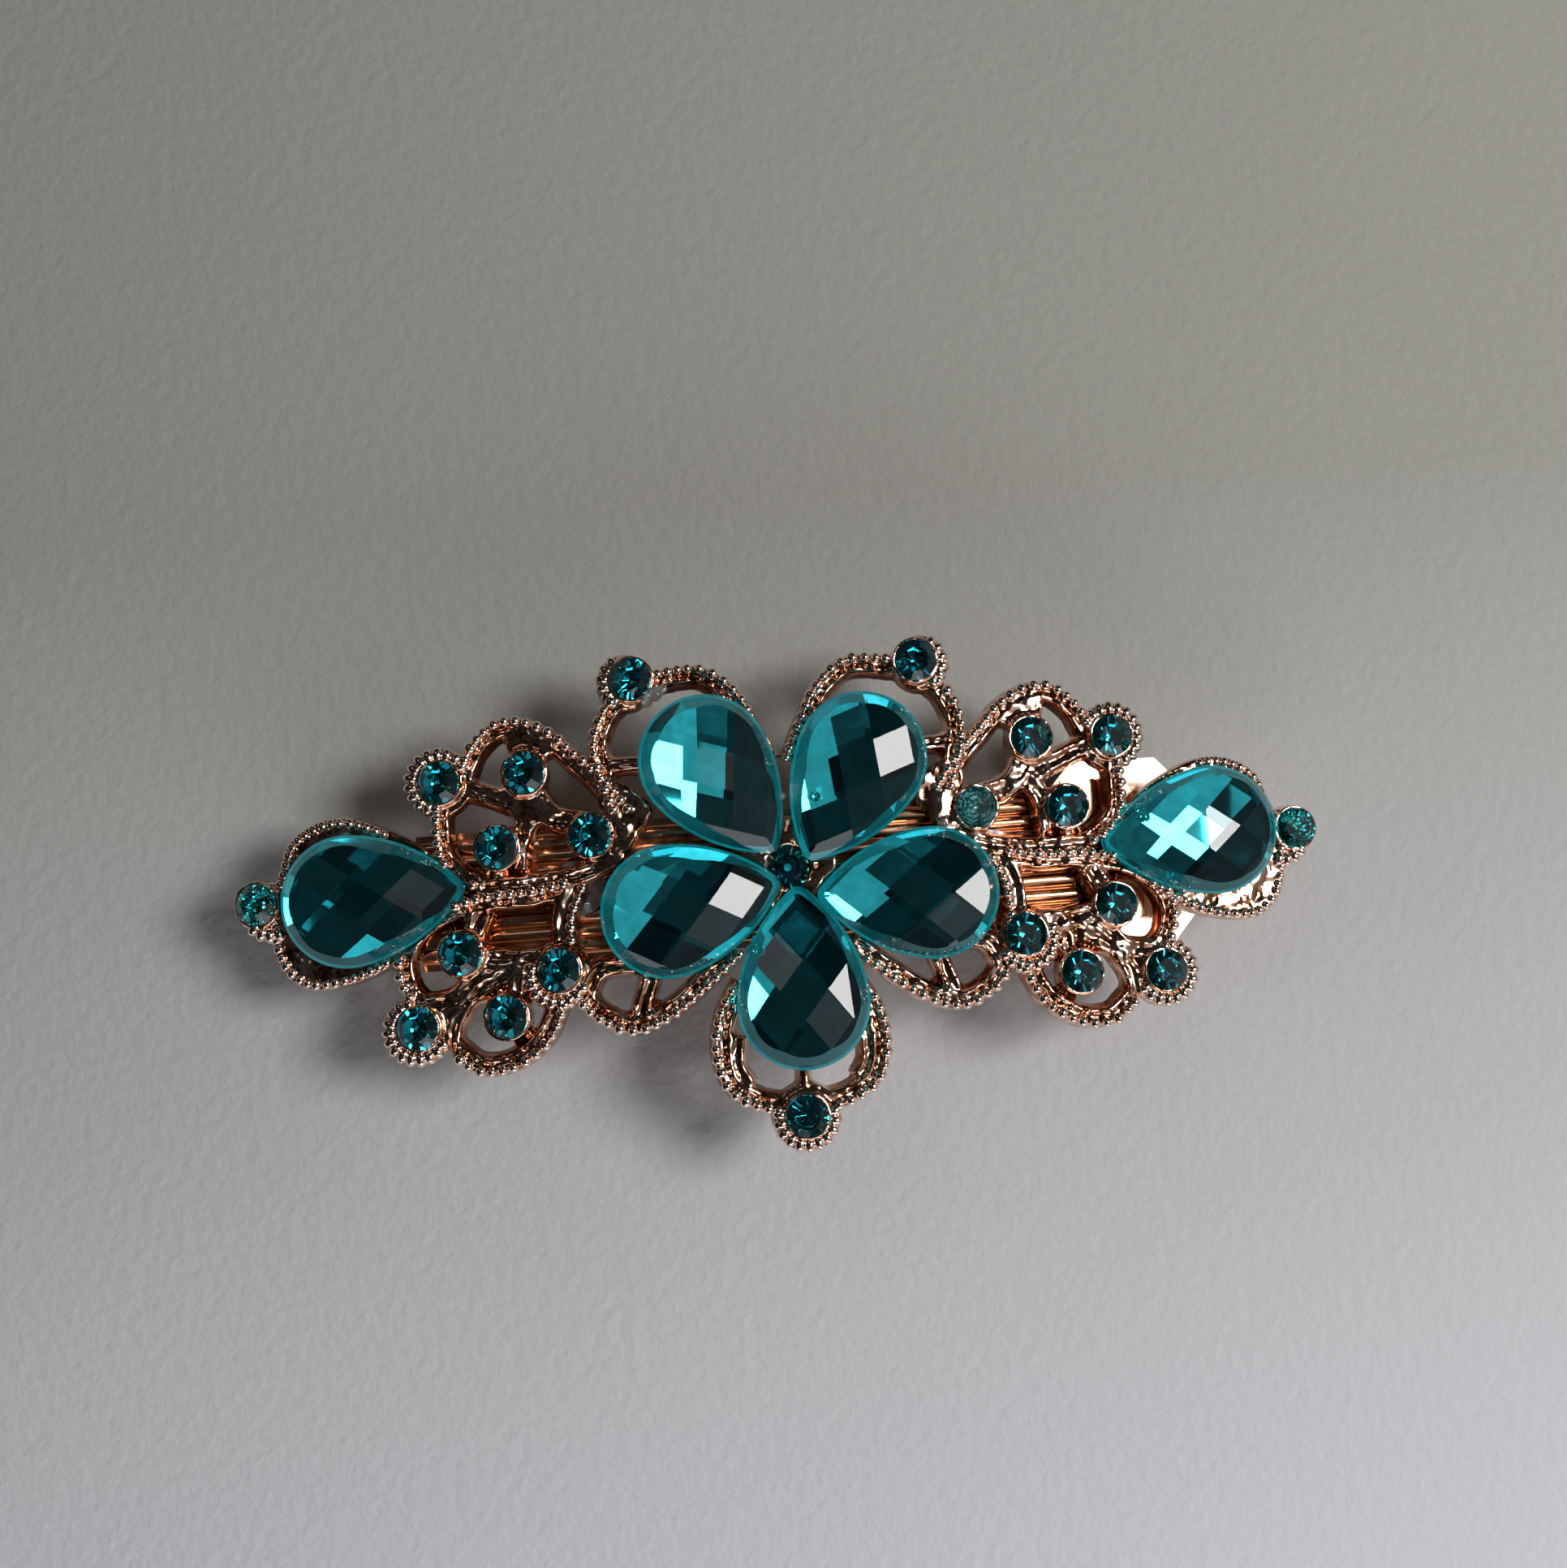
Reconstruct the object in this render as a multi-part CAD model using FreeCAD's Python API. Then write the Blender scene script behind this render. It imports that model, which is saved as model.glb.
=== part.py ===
import FreeCAD, Part
import math
import os

# Spring hair clip with a cast filigree ornament and teal stones.
# Millimetres. +X runs along the clip towards the hinge end, +Y towards the two upper petals,
# +Z out of the ornament's face. The origin is below the middle of the clip's box, on the
# surface that the closed clip rests on.

V = FreeCAD.Vector
Z_AXIS = V(0, 0, 1)
Y_AXIS = V(0, 1, 0)

# ---------------------------------------------------------------- driving dimensions
FLOWER_Y = 2.2                # the flower's centre, above the middle of the box

# the ornament and the upper jaw are arched along X about one axis parallel to Y
ARC_RADIUS = 240.0            # underside of the casting
CASTING_Z = 10.5              # height of that underside at the middle
CASTING_THICK = 1.9           # strands and gem seats
CUP_HEIGHT = 2.35             # cups of the round stones, above the casting's underside

PEAR_WIDTH = 10.4             # pear stones of the nominal 10 x 14 mm size
PEAR_LENGTH = 14.5            # to the tip before it is rounded, which leaves 14.4
PEAR_HEIGHT = 3.3
PEAR_DOME_RADIUS = 13.5
PEAR_SIDE_START = 98.0        # where the round end turns into the side, from the long axis
PEAR_TIP_ROUND = 0.9
PEAR_TIP_INSET = 1.4          # how far the tip draws back for each millimetre of inset
PEAR_DOME_SHIFT = 1.0         # the dome's centre lies this far towards the tip
PEAR_SEAT_INSET = 1.1         # the casting under a petal stays this far inside the stone

STONE_RADIUS = 1.65           # round stones
STONE_GIRDLE = 0.15
STONE_CROWN = 0.6
STONE_TABLE_RADIUS = 0.95
STONE_PAVILION = 1.0
CUP_WALL = 0.3                # of the collar in plan
CUP_LIP = 0.15                # of its rim, above the casting
CUP_FOOT = 0.8                # how far the cup reaches down into the casting
CUP_CLEARANCE = 0.06

JAW_Y = -0.7                  # the clip is fixed a little below the flower's centre
UPPER_WIDTH = 10.8
UPPER_SHEET = 0.7
RIB_COUNT = 8
RIB_HEIGHT = 0.35
PAD_THICK = 0.3               # solder between the rib crests and the casting
PADS = {"left": (-16.6, 2.2), "centre": (0.0, 3.2), "right": (16.6, 2.2)}    # x and radius
UPPER_TIP_X = -29.5
TAB_START_X = 23.5
TAB_END_X = 29.2
TAB_WIDTH = 12.4
TAB_CORNER = 2.2
TAB_NOTCHES = 7
TAB_NOTCH_RADIUS = 0.14
LIP_REACH = 1.6               # the toothed lip leans outwards by this much
LIP_INSET = 0.8               # and is this much narrower on each side
LIP_GAPS = 4
LIP_GAP_PITCH = 2.0
LIP_GAP_WIDTH = 0.7
LIP_GAP_DEPTH = 1.2

LOWER_RADIUS = 262.0          # underside of the lower jaw
LOWER_RISE = 2.0              # height of that underside at the middle; both ends are flat below z = 0
LOWER_SHEET = 0.8
LOWER_WIDTH = 9.6
LOWER_TIP_X = -33.6
LEVER_END_X = 35.8
LEVER_WIDTH = 16.4
LEVER_START_X = 25.6
LEVER_CORNER = (2.6, 2.8)     # what the chamfers take off the lever's corners, along X and Y
FLARE_LENGTH = 3.2            # where the jaw widens to the lever
LEVER_CURL = 0.7              # radius of the rolled edge
LEVER_CURL_INSET = 3.4
LOWER_BEAD_Y = 2.4            # two stiffening beads pressed into the lower jaw
LOWER_BEAD = 1.0              # half their width
LOWER_BEAD_RISE = 0.35
LOWER_BEAD_END_X = 20.0

PIN_X = 26.6
PIN_Z = 4.9
PIN_RADIUS = 0.8
PIN_CLEARANCE = 0.05
PIN_HEAD_RADIUS = 1.15
PIN_HEAD = 0.45
EAR_THICK = 0.7
EAR_RADIUS = 1.9
EAR_GAP = 0.15                # between the ears of the two jaws
EAR_SPREAD = 0.8              # each side of an ear's foot beyond its round end

SPRING_WIRE = 0.35            # radius of the wire
SPRING_COIL = 1.5             # mean radius of the coil
SPRING_TURNS = 3
SPRING_PITCH = 0.82
SPRING_BEND = 0.42            # ball where a leg leaves the coil
SPRING_BEND_GAP = 0.1
LOWER_LEG = (250.0, 5.6)      # where each leg leaves the coil, in degrees from +X, and its length
UPPER_LEG = (102.0, 2.9)
JAW_TIP_GAP = 0.25
BITE = 0.3                    # how far one piece of a body reaches into the next

# ---------------------------------------------------------------- stone positions (plan view)
# Right half; the left half is its mirror image. (x, y) of the round stones.
SIDE_STONES = {
    "tip": (41.95, 0.2),
    "crown": (11.35, 15.65),
    "upper_leaf_root": (15.3, 3.6),
    "upper_leaf_eye": (20.2, 8.9),
    "upper_leaf_foot": (22.7, 3.2),
    "upper_leaf_shell": (26.9, 8.65),
    "lower_leaf_root": (18.4, -6.7),
    "lower_leaf_foot": (26.0, -4.85),
    "lower_leaf_eye": (22.7, -10.0),
    "lower_leaf_shell": (29.65, -10.4),
}
BOTTOM_STONE = (0.0, -19.35)
CENTRE_STONE = (0.0, 0.0)      # sunk so far that the petals reach over it
CENTRE_DISC = 3.6
CENTRE_SINK = 0.05             # of its table below the casting's face

# Pear gems: centre of the round end, and the direction from the tip to the round end.
# They are glued by hand, so their angles differ a little.
PEARS = {
    "petal_gem_bottom": (0.35, -10.7, -91.5),
    "petal_gem_left": (-9.75, -2.75, 190.5),
    "petal_gem_right": (11.2, -2.85, -3.0),
    "petal_gem_upper_left": (-6.1, 8.8, 125.0),
    "petal_gem_upper_right": (6.35, 8.2, 58.0),
    "end_gem_left": (-34.5, -0.1, 183.0),
    "end_gem_right": (34.6, 0.5, 2.5),
}

# Strands of the openwork, right half: width, then the points of the centreline.
STRANDS = [
    (1.6, [(12.6, 5.2), (14.6, 7.9), (16.4, 9.7), (18.2, 11.5), (20.4, 12.6), (22.2, 12.5),
           (23.8, 11.2), (24.8, 9.4)]),
    (2.0, [(18.0, 10.8), (19.4, 11.4)]),
    (1.7, [(20.2, 6.0), (22.4, 7.1), (24.9, 8.1)]),
    (1.5, [(26.9, 6.6), (27.0, 4.6), (26.7, 2.6), (25.4, 1.2), (24.0, 0.5)]),
    (2.0, [(15.6, 4.6), (18.2, 5.3), (19.6, 7.2)]),
    (1.8, [(19.4, 6.0), (20.8, 4.0), (21.3, 1.4)]),
    (1.7, [(13.4, 1.6), (16.4, 0.6), (20.2, 0.2), (24.6, 0.2)]),
    (1.6, [(17.6, -0.4), (20.2, -0.9), (23.6, -1.0), (26.8, -1.7), (29.3, -3.1), (30.5, -5.2),
           (30.2, -7.2), (29.4, -8.4)]),
    (2.0, [(16.8, -0.2), (17.8, -2.4), (18.0, -5.0)]),
    (2.0, [(24.2, -1.7), (25.2, -3.6)]),
    (1.8, [(19.4, -5.6), (21.6, -5.7), (24.2, -5.3)]),
    (1.8, [(21.0, -5.8), (24.0, -7.3), (27.0, -9.0)]),
    (1.7, [(24.4, -6.0), (26.6, -8.2), (29.0, -8.7)]),
    (1.5, [(21.6, -6.0), (21.9, -8.2)]),
    (1.7, [(18.6, -9.2), (20.0, -11.8), (22.4, -13.4), (24.9, -13.6), (26.8, -12.2)]),
    (1.6, [(26.0, -8.8), (26.9, -10.4), (27.2, -12.4)]),
    (1.7, [(12.6, -6.6), (15.2, -6.9), (16.4, -8.6)]),
    (1.6, [(4.6, -6.2), (7.0, -8.2), (10.0, -10.4), (12.9, -11.4), (15.2, -10.4), (16.6, -9.0)]),
    (1.6, [(11.2, -7.4), (12.4, -10.6)]),
    (1.6, [(13.0, 5.6), (13.9, 8.4), (14.2, 10.8), (13.4, 12.9), (12.4, 14.0)]),
    (1.3, [(9.8, 8.9), (13.9, 9.1)]),
    (1.7, [(0.9, 8.4), (2.2, 11.2), (3.6, 13.8), (5.6, 15.5), (7.4, 15.7), (9.6, 15.4)]),
    (1.7, [(4.2, -8.8), (5.7, -11.2), (6.2, -14.0), (5.5, -16.6), (3.6, -17.9), (1.8, -18.4)]),
    (1.6, [(5.0, -12.8), (5.2, -15.2), (4.4, -16.8)]),
]
# Solid patches where several strands meet, right half.
PATCHES = [
    [(10.4, 5.4), (12.0, 7.2), (13.8, 7.8), (14.6, 6.4), (14.2, 4.8), (14.0, 2.4), (15.4, 1.6), (14.6, 0.6),
     (13.0, 1.4), (11.6, 3.4)],
    [(18.0, 10.4), (19.0, 9.9), (21.3, 10.6), (21.4, 11.8), (20.8, 12.6), (19.4, 12.4), (18.0, 11.6)],
    [(18.2, 5.2), (19.4, 7.0), (20.8, 7.2), (21.6, 6.2), (20.6, 5.0)],
]
# Scalloped shells round a stone's cup: centre and outer radius.
SHELLS = [
    (27.0, 8.7, 2.8),
    (29.8, -10.6, 2.8),
    (18.6, -7.1, 2.75),
    (11.8, 15.5, 2.35),
    (41.0, -0.5, 2.4),
]
BOTTOM_SHELL = (0.0, -19.5, 2.75)
CENTRE_STRUT = [(0.0, -15.0), (0.0, -18.5)]
CENTRE_STRUT_WIDTH = 1.0
# Outline of the end tray, right half, round the end gem.
TRAY = [(26.2, 0.6), (28.6, 3.6), (31.6, 5.4), (34.4, 6.45), (36.9, 6.3), (39.2, 4.9), (40.2, 2.4),
        (41.2, -0.4), (40.6, -4.4), (38.8, -6.5), (36.2, -6.8), (32.4, -5.8), (29.0, -3.6), (26.4, -1.2)]

ARC_CENTRE_Z = CASTING_Z - ARC_RADIUS
RIB_TOP_RADIUS = ARC_RADIUS - PAD_THICK
SHEET_TOP_RADIUS = RIB_TOP_RADIUS - RIB_HEIGHT
SHEET_LOW_RADIUS = SHEET_TOP_RADIUS - UPPER_SHEET
LOWER_CENTRE_Z = LOWER_RISE - LOWER_RADIUS


# ---------------------------------------------------------------- helpers
def arch_height(x, radius, centre_z):
    return centre_z + math.sqrt(radius * radius - x * x)


def set_on_arch(shape, x, y, lift, turn=0.0):
    """Turn a shape about its own axis, then stand it on the ornament's arch at plan position x, y."""
    radius = ARC_RADIUS + lift
    tilt = math.degrees(math.asin(x / radius))
    placed = shape.copy()
    placed.rotate(V(0, 0, 0), Z_AXIS, turn)
    placed.rotate(V(0, 0, 0), Y_AXIS, tilt)
    placed.translate(V(x, y, arch_height(x, radius, ARC_CENTRE_Z)))
    return placed


def smooth_wire(points, closed=False):
    """Arcs along a smooth curve through the points, in the plane z = 0."""
    curve = Part.BSplineCurve()
    curve.interpolate([V(x, y, 0) for x, y in points], PeriodicFlag=closed)
    return Part.Wire([arc.toShape() for arc in curve.toBiArcs(0.02)])


def capsule_face(start, end, width):
    """Straight strand with round ends."""
    a, b = V(*start, 0), V(*end, 0)
    along = (b - a).normalize() * (width / 2)
    side = V(-along.y, along.x, 0)
    edges = [
        Part.makeLine(a + side, b + side),
        Part.Arc(b + side, b + along, b - side).toShape(),
        Part.makeLine(b - side, a - side),
        Part.Arc(a - side, a - along, a + side).toShape(),
    ]
    return Part.Face(Part.Wire(edges))


def strand_face(points, width):
    if len(points) == 2:
        return capsule_face(*points, width)
    return Part.Face(smooth_wire(points).makeOffset2D(width / 2))


def disc_face(x, y, radius):
    return Part.Face(Part.Wire(Part.makeCircle(radius, V(x, y, 0))))


def mirrored(shape):
    return shape.mirror(V(0, 0, 0), V(1, 0, 0))


def arch_slab(low_radius, high_radius, centre_z, half_width=40.0):
    """The space between two coaxial cylinders whose axis runs along Y."""
    start = V(0, -half_width, centre_z)
    outer = Part.makeCylinder(high_radius, 2 * half_width, start, Y_AXIS)
    inner = Part.makeCylinder(low_radius, 2 * half_width, start, Y_AXIS)
    window = Part.makeBox(110, 2 * half_width, 60, V(-55, -half_width, -20))
    return outer.common(window).cut(inner)


def plate(points_xz, thick, y):
    """A flat plate in the XZ plane from y, thick along Y."""
    corners = [V(x, y, z) for x, z in points_xz]
    return Part.Face(Part.makePolygon(corners + corners[:1])).extrude(V(0, thick, 0))


def rounded_box_outline(x0, x1, half_width, y, corner):
    """Plan outline, square at x0 and with rounded corners at x1."""
    side = math.copysign(1, x1 - x0)
    inner = x1 - side * corner
    diagonal = corner * (1 - math.sqrt(0.5))
    low, high = y - half_width, y + half_width
    edges = [
        Part.makeLine(V(x0, high, 0), V(x0, low, 0)),
        Part.makeLine(V(x0, low, 0), V(inner, low, 0)),
        Part.Arc(V(inner, low, 0), V(x1 - side * diagonal, low + diagonal, 0),
                 V(x1, low + corner, 0)).toShape(),
        Part.makeLine(V(x1, low + corner, 0), V(x1, high - corner, 0)),
        Part.Arc(V(x1, high - corner, 0), V(x1 - side * diagonal, high - diagonal, 0),
                 V(inner, high, 0)).toShape(),
        Part.makeLine(V(inner, high, 0), V(x0, high, 0)),
    ]
    return Part.Face(Part.Wire(edges))


def prism(face, low=-5.0, high=20.0):
    raised = face.copy()
    raised.translate(V(0, 0, low))
    return raised.extrude(V(0, 0, high - low))


# ---------------------------------------------------------------- stones
def pear_outline(shrink=0.0):
    """Closed wire of a pear stone: round end about the origin, tip towards -X."""
    radius = PEAR_WIDTH / 2 - shrink
    tip = V(-(PEAR_LENGTH - PEAR_WIDTH / 2) + PEAR_TIP_INSET * shrink, 0, 0)
    angle = math.radians(PEAR_SIDE_START)
    top = V(radius * math.cos(angle), radius * math.sin(angle), 0)
    inward = V(-math.cos(angle), -math.sin(angle), 0)
    chord = top - tip
    side_radius = -chord.dot(chord) / (2 * chord.dot(inward))
    side_centre = top + inward * side_radius
    middle = (top + tip) * 0.5 - side_centre
    middle = side_centre + middle * (side_radius / middle.Length)
    low, low_middle = V(top.x, -top.y, 0), V(middle.x, -middle.y, 0)
    edges = [
        Part.Arc(low, V(radius, 0, 0), top).toShape(),
        Part.Arc(top, middle, tip).toShape(),
        Part.Arc(tip, low_middle, low).toShape(),
    ]
    return Part.Wire(edges)


def pear_gem():
    """Flat-backed domed pear stone standing on z = 0."""
    body = Part.Face(pear_outline()).extrude(V(0, 0, PEAR_HEIGHT))
    upright = [e for e in body.Edges if abs(e.Length - PEAR_HEIGHT) < 1e-6
               and e.BoundBox.XMax < -PEAR_WIDTH / 2]
    body = body.makeFillet(PEAR_TIP_ROUND, upright)
    dome = Part.makeSphere(PEAR_DOME_RADIUS, V(-PEAR_DOME_SHIFT, 0, PEAR_HEIGHT - PEAR_DOME_RADIUS))
    return body.common(dome)


def round_stone(clearance=0.0):
    """Pointed-back stone, its girdle's lower edge at z = 0."""
    radius = STONE_RADIUS + clearance
    profile = [V(0, 0, -STONE_PAVILION - clearance), V(radius, 0, 0), V(radius, 0, STONE_GIRDLE),
               V(STONE_TABLE_RADIUS + clearance, 0, STONE_GIRDLE + STONE_CROWN),
               V(0, 0, STONE_GIRDLE + STONE_CROWN)]
    face = Part.Face(Part.makePolygon(profile + profile[:1]))
    return face.revolve(V(0, 0, 0), Z_AXIS, 360)


def stone_places():
    """Name, x, y and lift of every round stone."""
    places = [("stone_bottom", *BOTTOM_STONE, CUP_HEIGHT),
              ("stone_centre", *CENTRE_STONE, CASTING_THICK - STONE_GIRDLE - STONE_CROWN - CENTRE_SINK)]
    for name, (x, y) in SIDE_STONES.items():
        places.append(("stone_right_" + name, x, y, CUP_HEIGHT))
        places.append(("stone_left_" + name, -x, y, CUP_HEIGHT))
    return places


# ---------------------------------------------------------------- casting
def filigree_half():
    faces = [strand_face(points, width) for width, points in STRANDS]
    faces += [disc_face(x, y, radius) for x, y, radius in SHELLS]
    faces += [disc_face(x, y, STONE_RADIUS + CUP_WALL) for x, y in SIDE_STONES.values()]
    faces += [Part.Face(smooth_wire(outline, closed=True)) for outline in PATCHES + [TRAY]]
    return faces


def gem_seat(x, y, angle):
    face = Part.Face(pear_outline(PEAR_SEAT_INSET))
    face.rotate(V(0, 0, 0), Z_AXIS, angle)
    face.translate(V(x, y, 0))
    return face


def filigree_frame():
    """Openwork casting: everything in plan, cut to the arched slab, then cups for the stones."""
    half = filigree_half()
    faces = half + [mirrored(face) for face in half]
    faces += [gem_seat(*PEARS[name]) for name in PEARS if name.startswith("petal")]
    faces += [disc_face(*BOTTOM_SHELL), disc_face(*CENTRE_STONE, CENTRE_DISC)]
    faces.append(strand_face(CENTRE_STRUT, CENTRE_STRUT_WIDTH))
    blank = prism(faces[0]).multiFuse([prism(face) for face in faces[1:]])
    slab = arch_slab(ARC_RADIUS, ARC_RADIUS + CASTING_THICK, ARC_CENTRE_Z)
    frame = blank.common(slab)
    cup = Part.makeCylinder(STONE_RADIUS + CUP_LIP, CUP_HEIGHT - CASTING_THICK + CUP_FOOT,
                            V(0, 0, CASTING_THICK - CUP_HEIGHT - CUP_FOOT))
    places = stone_places()
    cups = [set_on_arch(cup, x, y, lift) for name, x, y, lift in places if lift == CUP_HEIGHT]
    frame = frame.multiFuse(cups)
    hollow = round_stone(CUP_CLEARANCE)
    frame = frame.cut([set_on_arch(hollow, x, y, lift) for name, x, y, lift in places])
    return frame.removeSplitter()


# ---------------------------------------------------------------- upper jaw
def ribbed_sheet():
    """Fluted sheet, revolved about the axis of the arch."""
    pitch = (UPPER_WIDTH - 1.0) / RIB_COUNT
    half = UPPER_WIDTH / 2
    low = SHEET_LOW_RADIUS + ARC_CENTRE_Z
    flat = SHEET_TOP_RADIUS + ARC_CENTRE_Z
    crest = RIB_TOP_RADIUS + ARC_CENTRE_Z
    start = -RIB_COUNT * pitch / 2
    corners = [V(0, -start, flat), V(0, half, flat), V(0, half, low), V(0, -half, low), V(0, -half, flat),
               V(0, start, flat)]
    edges = [Part.makeLine(a, b) for a, b in zip(corners, corners[1:])]
    for index in range(RIB_COUNT):
        left = start + index * pitch
        edges.append(Part.Arc(V(0, left, flat), V(0, left + pitch / 2, crest),
                              V(0, left + pitch, flat)).toShape())
    face = Part.Face(Part.Wire(edges))
    face.translate(V(0, JAW_Y, 0))
    centre = V(0, 0, ARC_CENTRE_Z)
    first = math.degrees(math.asin(UPPER_TIP_X / ARC_RADIUS))
    last = math.degrees(math.asin(TAB_START_X / ARC_RADIUS))
    face.rotate(centre, Y_AXIS, first)
    return face.revolve(centre, Y_AXIS, last - first)


def thumb_tab():
    """Plain, wider end of the upper jaw, with notched side edges."""
    outline = rounded_box_outline(TAB_START_X - 0.5, TAB_END_X, TAB_WIDTH / 2, JAW_Y, TAB_CORNER)
    slab = arch_slab(SHEET_LOW_RADIUS, SHEET_TOP_RADIUS, ARC_CENTRE_Z)
    tab = prism(outline).common(slab)
    notches = []
    span = TAB_END_X - TAB_START_X - TAB_CORNER
    for index in range(TAB_NOTCHES):
        x = TAB_START_X + 0.2 + span * index / (TAB_NOTCHES - 1)
        for side in (-1, 1):
            edge = V(x, JAW_Y + side * TAB_WIDTH / 2, -5)
            notches.append(Part.makeCylinder(TAB_NOTCH_RADIUS, 30, edge))
    return tab.cut(notches)


def toothed_lip():
    """Lip bent down at the tip, castellated where it meets the lower jaw."""
    top_x = UPPER_TIP_X + BITE
    top = arch_height(top_x, SHEET_TOP_RADIUS, ARC_CENTRE_Z)
    low_x = top_x - LIP_REACH
    low = arch_height(low_x, LOWER_RADIUS + LOWER_SHEET, LOWER_CENTRE_Z) + JAW_TIP_GAP
    lip = plate([(top_x + UPPER_SHEET, top), (top_x - 0.1, top), (low_x - 0.1, low), (low_x + UPPER_SHEET, low)],
                UPPER_WIDTH - 2 * LIP_INSET, JAW_Y - UPPER_WIDTH / 2 + LIP_INSET)
    first = JAW_Y - ((LIP_GAPS - 1) * LIP_GAP_PITCH + LIP_GAP_WIDTH) / 2
    gaps = []
    for index in range(LIP_GAPS):
        corner = V(low_x - 3, first + index * LIP_GAP_PITCH, low - 0.2)
        gaps.append(Part.makeBox(6, LIP_GAP_WIDTH, LIP_GAP_DEPTH + 0.2, corner))
    return lip.cut(gaps)


def ear(x, width, z_plate, z_pin, thick, y):
    """Side plate with a round end about the pin."""
    half = width / 2
    sign = math.copysign(1, z_plate - z_pin)
    edges = [
        Part.makeLine(V(x - half, y, z_pin), V(x - half - EAR_SPREAD, y, z_plate)),
        Part.makeLine(V(x - half - EAR_SPREAD, y, z_plate), V(x + half + EAR_SPREAD, y, z_plate)),
        Part.makeLine(V(x + half + EAR_SPREAD, y, z_plate), V(x + half, y, z_pin)),
        Part.Arc(V(x + half, y, z_pin), V(x, y, z_pin - sign * half), V(x - half, y, z_pin)).toShape(),
    ]
    return Part.Face(Part.Wire(edges)).extrude(V(0, thick, 0))


def pin_hole(radius):
    return Part.makeCylinder(radius, 30, V(PIN_X, JAW_Y - 15, PIN_Z), Y_AXIS)


def upper_jaw():
    top = arch_height(PIN_X, SHEET_LOW_RADIUS, ARC_CENTRE_Z) + BITE
    outer = UPPER_WIDTH / 2
    ears = [ear(PIN_X, 2 * EAR_RADIUS, top, PIN_Z, EAR_THICK, JAW_Y - outer),
            ear(PIN_X, 2 * EAR_RADIUS, top, PIN_Z, EAR_THICK, JAW_Y + outer - EAR_THICK)]
    jaw = ribbed_sheet().multiFuse([thumb_tab(), toothed_lip()] + ears)
    return jaw.cut(pin_hole(PIN_RADIUS + PIN_CLEARANCE)).removeSplitter()


def solder_pads():
    ring = arch_slab(RIB_TOP_RADIUS, ARC_RADIUS, ARC_CENTRE_Z)
    pads = {}
    for name, (x, radius) in PADS.items():
        pads["solder_pad_" + name] = Part.makeCylinder(radius, 25, V(x, JAW_Y / 2, -3)).common(ring)
    return pads


# ---------------------------------------------------------------- lower jaw
def lower_outline():
    """Plan outline: slim jaw with a round tip, flaring to the wide thumb lever."""
    half, lever = LOWER_WIDTH / 2, LEVER_WIDTH / 2
    tip_x = LOWER_TIP_X + LOWER_WIDTH / 2 - 1.2
    flare_x = LEVER_START_X - FLARE_LENGTH
    cut_x, cut_y = LEVER_CORNER
    tip = Part.Arc(V(tip_x, half, 0), V(LOWER_TIP_X, 0, 0), V(tip_x, -half, 0)).toShape()
    corners = [(tip_x, -half), (flare_x, -half), (LEVER_START_X, -lever), (LEVER_END_X - cut_x, -lever),
               (LEVER_END_X, -lever + cut_y), (LEVER_END_X, lever - cut_y), (LEVER_END_X - cut_x, lever),
               (LEVER_START_X, lever), (flare_x, half), (tip_x, half)]
    lines = [Part.makeLine(V(*a, 0), V(*b, 0)) for a, b in zip(corners, corners[1:])]
    face = Part.Face(Part.Wire([tip] + lines))
    face.translate(V(0, JAW_Y, 0))
    return face


def lower_bead(y, base, crest):
    """Long half-round bar about the jaw's own arch axis, between two levels of the sheet."""
    centre = V(0, 0, LOWER_CENTRE_Z)
    low = LOWER_CENTRE_Z + LOWER_RADIUS + base
    top = LOWER_CENTRE_Z + LOWER_RADIUS + crest
    middle = JAW_Y + y
    arc = Part.Arc(V(0, middle - LOWER_BEAD, low), V(0, middle, top), V(0, middle + LOWER_BEAD, low))
    closing = Part.makeLine(V(0, middle + LOWER_BEAD, low), V(0, middle - LOWER_BEAD, low))
    face = Part.Face(Part.Wire([arc.toShape(), closing]))
    half_angle = math.degrees(math.asin(LOWER_BEAD_END_X / LOWER_RADIUS))
    face.rotate(centre, Y_AXIS, -half_angle)
    return face.revolve(centre, Y_AXIS, 2 * half_angle)


def lever_curl():
    """Rolled edge on top of the lever's end."""
    x = LEVER_END_X - LEVER_CURL
    z = arch_height(x, LOWER_RADIUS + LOWER_SHEET, LOWER_CENTRE_Z) + 0.15
    half = LEVER_WIDTH / 2 - LEVER_CURL_INSET
    return Part.makeCylinder(LEVER_CURL, 2 * half, V(x, JAW_Y - half, z), Y_AXIS)


def lower_jaw():
    slab = arch_slab(LOWER_RADIUS, LOWER_RADIUS + LOWER_SHEET, LOWER_CENTRE_Z)
    sheet = prism(lower_outline()).common(slab)
    low = arch_height(PIN_X, LOWER_RADIUS, LOWER_CENTRE_Z) + 0.4
    reach = UPPER_WIDTH / 2 - EAR_THICK - EAR_GAP
    ears = [ear(PIN_X, 2 * EAR_RADIUS, low, PIN_Z, EAR_THICK, JAW_Y - reach),
            ear(PIN_X, 2 * EAR_RADIUS, low, PIN_Z, EAR_THICK, JAW_Y + reach - EAR_THICK)]
    sides = (-LOWER_BEAD_Y, LOWER_BEAD_Y)
    beads = [lower_bead(y, LOWER_SHEET / 2, LOWER_SHEET + LOWER_BEAD_RISE) for y in sides]
    jaw = sheet.multiFuse(ears + beads + [lever_curl()])
    grooves = [lower_bead(y, -LOWER_SHEET / 2, LOWER_BEAD_RISE) for y in sides]
    below = Part.makeBox(100, 40, 5, V(-50, -20, -5))
    return jaw.cut(grooves + [below, pin_hole(PIN_RADIUS + PIN_CLEARANCE)]).removeSplitter()


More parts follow.
